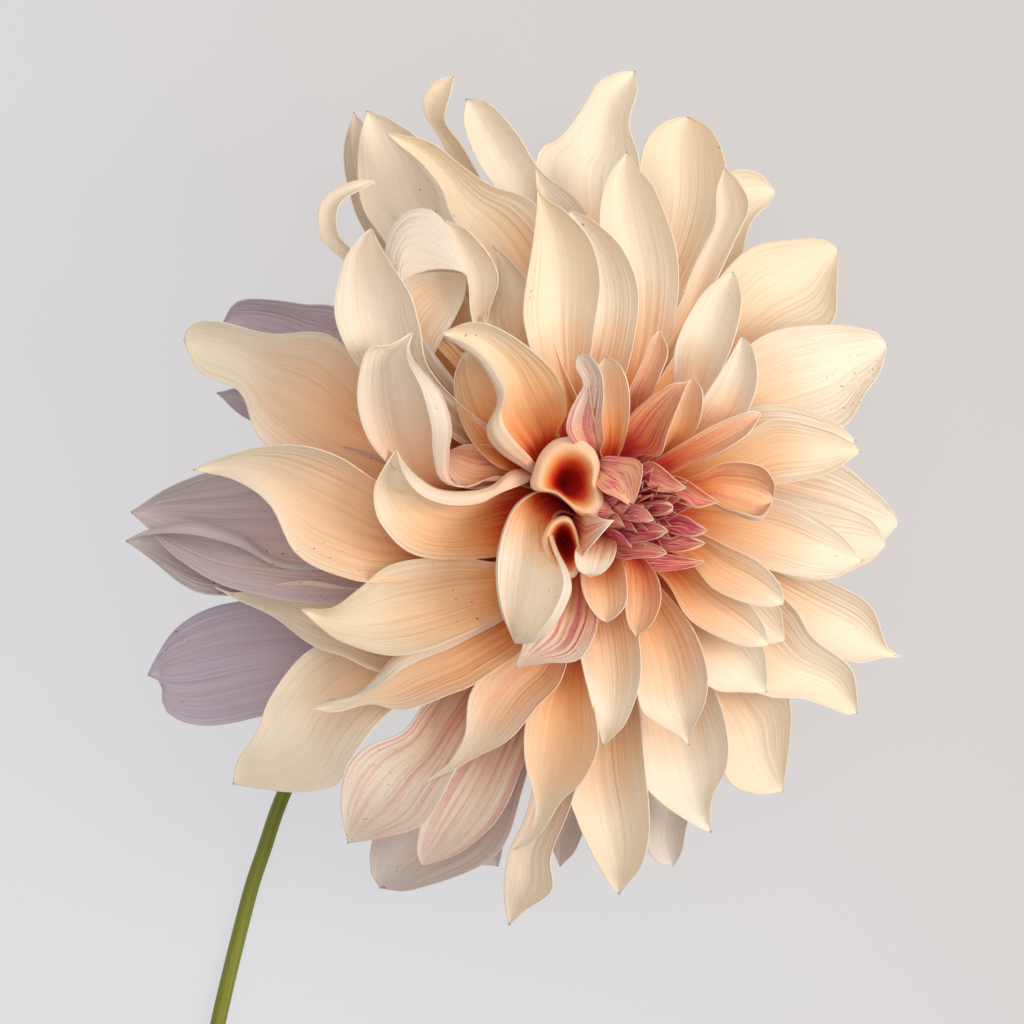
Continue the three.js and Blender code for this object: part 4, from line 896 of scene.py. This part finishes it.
@dataclass
class Sheets:
    """Points, faces and values of many closed sheets that become one mesh."""

    points: list[np.ndarray] = field(default_factory=list)
    faces: list[np.ndarray] = field(default_factory=list)
    values: dict[str, list[np.ndarray]] = field(default_factory=dict)
    count: int = 0

    def add(self, points: np.ndarray, faces: np.ndarray, **values: np.ndarray | float) -> None:
        """Adds a closed surface.

        Args:
            points: its points in millimetres.
            faces: four point numbers a face.
            values: what the material reads, one number a point or one for all.
        """
        self.points.append(points)
        self.faces.append(faces + self.count)
        self.count += len(points)
        for name, value in values.items():
            self.values.setdefault(name, []).append(np.broadcast_to(np.asarray(value, float), (len(points),)))

    def walled(self, blade: Grid, thick: float, **values: float) -> None:
        """Adds a grid of points as a thin wall that is closed round its edge and never below the surface.

        The two faces stand off the grid by half the thickness along its normals, less at the margins.

        Args:
            blade: the grid of points, and the places along and across as grids.
            thick: the wall at the middle.
            values: what else the material reads.
        """
        grid, along, across = blade
        rows, columns = grid.shape[:2]
        normal = unit(np.cross(np.gradient(grid, axis=0), np.gradient(grid, axis=1)))
        normal[-1] = normal[-2]
        thin = (0.55 + 0.45 * (1 - np.abs(across) ** 4))[..., None]
        top, under = (grid + sign * normal * thick / 2 * thin for sign in (1, -1))
        top[..., 2] = np.maximum(top[..., 2], thick)
        under[..., 2] = np.maximum(under[..., 2], 0)
        points = np.concatenate([top.reshape(-1, 3), under.reshape(-1, 3)])
        half = rows * columns
        cell = np.arange(half).reshape(rows, columns)
        upper = np.stack([cell[:-1, :-1], cell[1:, :-1], cell[1:, 1:], cell[:-1, 1:]], -1).reshape(-1, 4)
        rim = np.concatenate([cell[0, :-1], cell[:-1, -1], cell[-1, :0:-1], cell[:0:-1, 0]])
        ahead = np.roll(rim, -1)
        edge = np.stack([rim, ahead, ahead + half, rim + half], -1)
        self.add(
            points, np.concatenate([upper, upper[:, ::-1] + half, edge]), along=np.tile(along.ravel(), 2),
            across=np.tile(across.ravel(), 2), back=np.repeat([0.0, 1.0], half), **values,
        )

    def turned(self, profile: Profile, sides: int, steps: int, **values: float) -> None:
        """Adds a solid turned round the head's axis: its outline is carried round by the angle.

        Args:
            profile: pairs of radius and height along the axis, which start and end on the axis.
            sides: places round the axis.
            steps: places that each stretch of the outline is cut into.
            values: what the material reads.
        """
        fine = np.linspace(0, len(profile) - 1, (len(profile) - 1) * steps + 1)
        radius, height = (np.interp(fine, np.arange(len(profile)), column) for column in zip(*profile))
        radius = np.maximum(radius, 0.01)
        angle = np.linspace(0, 2 * math.pi, sides, endpoint=False)
        ring = EAST * np.cos(angle)[:, None] + NORTH * np.sin(angle)[:, None]
        self.tube(HEAD + ring[None] * radius[:, None, None] + AXIS * height[:, None, None], **values)

    def tube(self, rings: np.ndarray, **values: float) -> None:
        """Adds rings of points as a tube, whose end rings are drawn in to their middles and closed across.

        Args:
            rings: the points, ring by ring.
            values: what the material reads besides the places along and across.
        """
        along = np.linspace(0, 1, len(rings))
        along = np.concatenate([along[:1], along, along[-1:]])
        first, last = rings[:1].mean(1, keepdims=True), rings[-1:].mean(1, keepdims=True)
        rings = np.concatenate([first + (rings[:1] - first) * 0.02, rings, last + (rings[-1:] - last) * 0.02])
        rows, sides = rings.shape[:2]
        cell = np.arange(rows * sides).reshape(rows, sides)
        beside = np.roll(cell, -1, axis=1)
        walls = np.stack([cell[:-1], beside[:-1], beside[1:], cell[1:]], -1).reshape(-1, 4)
        pairs = np.arange(1, sides // 2)
        cap = np.stack([pairs - 1, pairs, sides - 1 - pairs, sides - pairs], -1)
        cap[0, 0], cap[0, 3] = 0, sides - 1
        faces = np.concatenate([walls, cap[:, ::-1], cap + (rows - 1) * sides])
        across = np.tile(np.linspace(-1, 1, sides), rows)
        self.add(rings.reshape(-1, 3), faces, along=np.repeat(along, sides), across=across, back=0, **values)

    def piece(self, name: str, material: bpy.types.Material, slot: str, node: str) -> None:
        """Makes the mesh and its object, which stands for a node of the part.

        Args:
            name: the piece's name.
            material: its finish.
            slot: the record's material slot; not used.
            node: the CAD node that it replaces.
        """
        points = (np.concatenate(self.points) + LIE) * MM
        faces = np.concatenate(self.faces)
        mesh = bpy.data.meshes.new(name)
        mesh.vertices.add(len(points))
        mesh.vertices.foreach_set("co", points.ravel())
        mesh.loops.add(faces.size)
        mesh.loops.foreach_set("vertex_index", faces.ravel())
        mesh.polygons.add(len(faces))
        mesh.polygons.foreach_set("loop_start", np.arange(0, faces.size, 4))
        mesh.polygons.foreach_set("use_smooth", np.ones(len(faces), bool))
        for key, parts in self.values.items():
            mesh.attributes.new(key, "FLOAT", "POINT").data.foreach_set("value", np.concatenate(parts))
        mesh.update(calc_edges=True)
        mesh.validate()
        mesh.set_sharp_from_angle(angle=math.radians(55))
        mesh.materials.append(material)
        made = bpy.data.objects.new(name, mesh)
        bpy.context.collection.objects.link(made)
        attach(made, "root")
        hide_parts(node)
        log.info("%s: %d faces", name, len(faces))


@dataclass
class Bloom:
    """The ray florets in their layers round a core."""

    thick: float = 0.5
    rows: int = 44
    columns: int = 21
    curl_rows: int = 24
    curl_columns: int = 56
    seed: int = 11
    core: Profile = ((0, -5), (18.9, -5), (27, 5), (25.1, 15), (16.7, 22), (10.8, 24), (0, 24))
    fill_count: int = 4
    fill_turn: float = math.radians(20)
    fill_reach: float = 84
    fill_rise: float = -34
    roots: dict[Layer, float] = field(
        default_factory=lambda: {Layer.INNER: 0.17, Layer.MIDDLE: 0.08, Layer.OUTER: 0, Layer.BACK: 0}
    )
    finish: PetalFinish = PetalFinish()

    def back(self) -> list[Petal]:
        """The petals of the back layer.

        Returns:
            The bent petals that bear on the surface, and those between them and the rest.
        """
        # The back petals take a little painted bluish shade, as they lie under the head
        petals = [
            Petal((x, y, -8), 34, -4, pitch=-38, lead=0.5, cup=10, blunt=3, point=0.8, cool=0.3)
            for x, y in RESTING
        ]
        for k in range(self.fill_count):
            x, y, height = from_head(self.fill_turn + k * GOLDEN, self.fill_reach, self.fill_rise)
            petals.append(Petal((x, y, max(height, 4)), 34, 2, pitch=-35, cool=0.2))
        return petals

    def build(self) -> None:
        """Makes one piece for each layer, and the core that they grow from."""
        satin = self.finish.material()
        random = np.random.default_rng(self.seed)
        layers: dict[Layer, Iterable[Petal]] = {
            Layer.INNER: INNER, Layer.MIDDLE: MIDDLE, Layer.OUTER: OUTER, Layer.BACK: self.back(),
        }
        for layer, petals in layers.items():
            sheets = Sheets()
            for petal in petals:
                sheets.walled(
                    petal.surface(self.rows, self.columns), self.thick, tint=random.uniform(),
                    warm=petal.warm, streak=petal.streak, cool=petal.cool, root=self.roots[layer],
                )
            if layer is Layer.INNER:
                for curl in CURLS:
                    blade = curl.surface(self.curl_rows, self.curl_columns)
                    sheets.walled(blade, self.thick, tint=0.6, warm=0.95, streak=0.15, cool=0, root=0.1)
                # The core takes the darkest red all over: painted shade where it shows between the petals
                sheets.turned(self.core, 40, 4, tint=0.5, warm=30, streak=0, cool=0, root=0)
            sheets.piece(layer.value, satin, "petals", "ray_florets")


@dataclass
class Eye:
    """Young florets that stand out of a low cone, by the golden angle.

    Each pair is the value at the outermost floret and at the middle one.
    """

    count: int = 34
    turn: float = 7
    seed: int = 5
    foot: float = 25.3
    cone: Profile = ((0, 24.3), (5.7, 24.3), (8.5, 32.3), (6.6, 43), (0, 50))
    lean: float = 3.5
    reach: tuple[float, float] = (13, 2.5)
    rise: tuple[float, float] = (50, 58)
    width: tuple[float, float] = (8.5, 5.5)
    climb: tuple[float, float] = (38, 82)
    pitch: tuple[float, float] = (50, 80)
    thick: float = 0.35
    finish: FloretFinish = FloretFinish()

    def florets(self) -> Iterable[Petal]:
        """The florets, from the outermost to the middle one.

        Yields:
            Each floret.
        """
        for k in range(self.count):
            share = k / (self.count - 1)
            spans = (self.reach, self.rise, self.width, self.climb, self.pitch)
            reach, rise, width, climb, pitch = (low + (high - low) * share for low, high in spans)
            tip = from_head(k * GOLDEN + self.turn, reach, rise) + np.array([self.lean * (1 - share), 0, 0])
            yield Petal(
                tuple(tip), width, climb, pitch=pitch, cup=45, base=45, keel=10, lead=0.5, start=5,
                climb_up=6, rise=self.foot, wave=0.3, pleat=0.08, warm=0.6,
            )

    def build(self) -> None:
        """Makes the piece."""
        sheets = Sheets()
        random = np.random.default_rng(self.seed)
        drawn = (replace(floret, start=2, climb_up=0, rise=24, wave=0.4, pleat=0.15) for floret in HEART)
        for floret in (*self.florets(), *drawn):
            tint = random.uniform(-0.3, 0.3) + floret.warm
            sheets.walled(floret.surface(24, 11), self.thick, tint=tint)
        sheets.turned(self.cone, 24, 4, tint=0.5)
        sheets.piece("eye_of_florets", self.finish.material(), "eye", "eye_florets")


@dataclass(frozen=True)
class Whorl:
    """Blades evenly round the head, all of one pattern, on a turned body."""

    pattern: Petal
    count: int
    offset: float
    reach: float
    drop: float
    rows: int
    thick: float
    body: Profile

    def sheets(self, random: np.random.Generator) -> Sheets:
        """The blades and the body that they grow from.

        Args:
            random: where each blade's tint is drawn from.

        Returns:
            Their closed surfaces.
        """
        sheets = Sheets()
        for k in range(self.count):
            tip = from_head(2 * math.pi * (k + self.offset) / self.count, self.reach, -self.drop)
            blade = replace(self.pattern, tip=tuple(tip)).surface(self.rows, 11)
            sheets.walled(blade, self.thick, tint=random.uniform())
        sheets.turned(self.body, 32, 3, tint=0.5)
        return sheets


@dataclass
class Calyx:
    """Papery scales under the petals, and the green cup with its bent-back bracts."""

    seed: int = 3
    scales: Whorl = Whorl(
        Petal((0, 0, 0), 13, 0, start=6, rise=-7.25, pitch=0, base=10, neck=0.8, blunt=3, point=0.6,
              wave=0.3, pleat=0.1),
        count=8, offset=0, reach=21, drop=8.7, rows=20, thick=0.6,
        body=((0, -9.2), (10.8, -9.2), (12, -5.3), (0, -5.3)),
    )
    bracts: Whorl = Whorl(
        Petal((0, 0, 0), 10, -20, start=6, rise=-11.5, pitch=-30, base=10, neck=0.6, blunt=2.6, point=0.8,
              wave=0.4, pleat=0.1),
        count=6, offset=0.5, reach=25, drop=25, rows=22, thick=0.7,
        body=((0, -17), (3.4, -17), (5.4, -14), (11, -11), (11, -9.5), (0, -9.5)),
    )
    papery: GreenFinish = GreenFinish("papery_scale", "9FA36B", "C9C69A", "B79A6A", 0.6)
    leafy: GreenFinish = GreenFinish("green_bract", "3F6A24", "6F9440", "7C9A4C")

    def build(self) -> None:
        """Makes both pieces."""
        random = np.random.default_rng(self.seed)
        self.scales.sheets(random).piece("papery_scales", self.papery.material(), "scales", "inner_bracts")
        self.bracts.sheets(random).piece("green_bracts", self.leafy.material(), "bracts", "outer_bracts")


@dataclass
class Stem:
    """The bare stem, from the cup down to the surface and along it to its cut end."""

    route: tuple[Vec, ...] = (
        (-33, 2.5, 56.6), (-41, 2, 41), (-53, -7, 25), (-71, -28, 11), (-91.5, -56, 3.6), (-103.5, -81, 2.2),
        (-109.3, -97.5, 2.2), (-114.2, -113, 2.2), (-122.7, -148, 2.2), (-129, -182, 2.3), (-134, -214, 2.4),
        (-137, -241, 2.4),
    )
    neck: float = 2.9
    middle: float = 2.1
    foot: float = 2.4
    thinnest: float = 0.4
    sides: int = 24
    steps: int = 160
    ribs: int = 5
    rib_depth: float = 0.03
    finish: GreenFinish = GreenFinish("stem_skin", "5A6A12", "8E9320", "857C18", 0.38)

    def build(self) -> None:
        """Makes the piece: a ring square to the line at each step, thinnest part of the way down."""
        share = np.linspace(0, 1, self.steps)
        line = smooth_through(np.array(self.route, float), share, 100)
        way = unit(np.gradient(line, axis=0))
        side = unit(np.cross(way, UP))
        other = np.cross(side, way)
        upper = self.neck + (self.middle - self.neck) * ease(share / self.thinnest)
        lower = self.middle + (self.foot - self.middle) * ease((share - self.thinnest) / (1 - self.thinnest))
        radius = np.where(share < self.thinnest, upper, lower)
        angle = np.linspace(0, 2 * math.pi, self.sides, endpoint=False)
        ribs = 1 + self.rib_depth * np.cos(self.ribs * angle)
        turned = (np.cos(angle) * ribs)[:, None], (np.sin(angle) * ribs)[:, None]
        spokes = side[:, None] * turned[0] + other[:, None] * turned[1]
        rings = line[:, None] + spokes * radius[:, None, None]
        rings[..., 2] = np.maximum(rings[..., 2], 0)
        sheets = Sheets()
        sheets.tube(rings, tint=0.5)
        sheets.piece("bare_stem", self.finish.material(), "stem", "stem")


@dataclass(frozen=True)
class Softbox:
    """A square soft light that points at the bloom."""

    name: str
    place: Vec
    size: float
    power: float
    colour: Vec
    aim: Vec = (0, 60, 60)

    def build(self) -> None:
        """Makes the light and its object."""
        light = bpy.data.lights.new(self.name, "AREA")
        light.shape, light.size, light.energy, light.color = "SQUARE", self.size, self.power, self.colour
        lamp = bpy.data.objects.new(self.name, light)
        lamp.location = np.array(self.place) * MM
        aim = np.array(self.aim) * MM - np.array(self.place) * MM
        lamp.rotation_euler = Vector(aim).to_track_quat("-Z", "Y").to_euler()
        bpy.context.collection.objects.link(lamp)


@dataclass
class Studio:
    """Plain pale floor, soft light and the camera over the bloom."""

    eye: Vec = (-2.64, 58.94, 1560)
    lens: float = 188.3
    sensor: float = 36
    reach: float = 4
    far: float = 20
    floor: str = "626263"
    glow: str = "DDDDE1"
    far_glow: str = "D2CCC8"
    glow_strength: float = 0.87
    sky: tuple[float, float, float, float] = (1.0, 0.97, 0.95, 1)
    sky_strength: float = 0.42
    lights: tuple[Softbox, ...] = (
        Softbox("key", (900, 60, 850), 0.6, 8.2, (1.0, 0.95, 0.89)),
        Softbox("fill", (-50, 320, 1350), 1.2, 5.8, (1.0, 0.98, 0.96)),
    )

    def ground(self) -> None:
        """Makes the floor, which is a little warmer and darker toward the upper right."""
        mesh = bpy.data.meshes.new("floor")
        corners = [(x * self.reach, y * self.reach, 0) for x, y in ((-1, -1), (1, -1), (1, 1), (-1, 1))]
        mesh.from_pydata(corners, [], [(0, 1, 2, 3)])
        floor = bpy.data.objects.new("floor", mesh)
        bpy.context.collection.objects.link(floor)
        r = Recipe("pale_floor")
        place = r.node("ShaderNodeTexCoord", None, None, "Object")
        ends = {0: place, 1: (0.8, 0.6, 0)}
        slant = r.node("ShaderNodeVectorMath", {"operation": "DOT_PRODUCT"}, ends, "Value")
        mesh.materials.append(r.finish({
            "Base Color": paint(self.floor), "Roughness": 0.95, "Specular IOR Level": 0.1,
            "Emission Color": r.mix(slant.within(-0.2, 0.25), paint(self.glow), self.far_glow),
            "Emission Strength": self.glow_strength,
        }))

    def camera(self) -> None:
        """Makes the camera, which looks straight down."""
        camera = bpy.data.cameras.new("above")
        camera.lens, camera.sensor_width, camera.clip_end = self.lens, self.sensor, self.far
        view = bpy.data.objects.new("above", camera)
        view.location = np.array(self.eye) * MM
        bpy.context.collection.objects.link(view)
        bpy.context.scene.camera = view

    def build(self) -> None:
        """Makes the floor, the lights, the sky and the camera."""
        self.ground()
        for light in self.lights:
            light.build()
        world = bpy.data.worlds.new("studio")
        bpy.context.scene.world = world
        world.use_nodes = True
        sky = world.node_tree.nodes["Background"].inputs
        sky["Color"].default_value, sky["Strength"].default_value = self.sky, self.sky_strength
        self.camera()
        bpy.context.scene.view_settings.view_transform = "Standard"


def main() -> None:
    """Builds the flower and the studio."""
    logging.basicConfig(level=logging.INFO, format="%(name)s: %(message)s")
    for part in (Bloom(), Eye(), Calyx(), Stem(), Studio()):
        part.build()


if __name__ == "__main__":
    main()
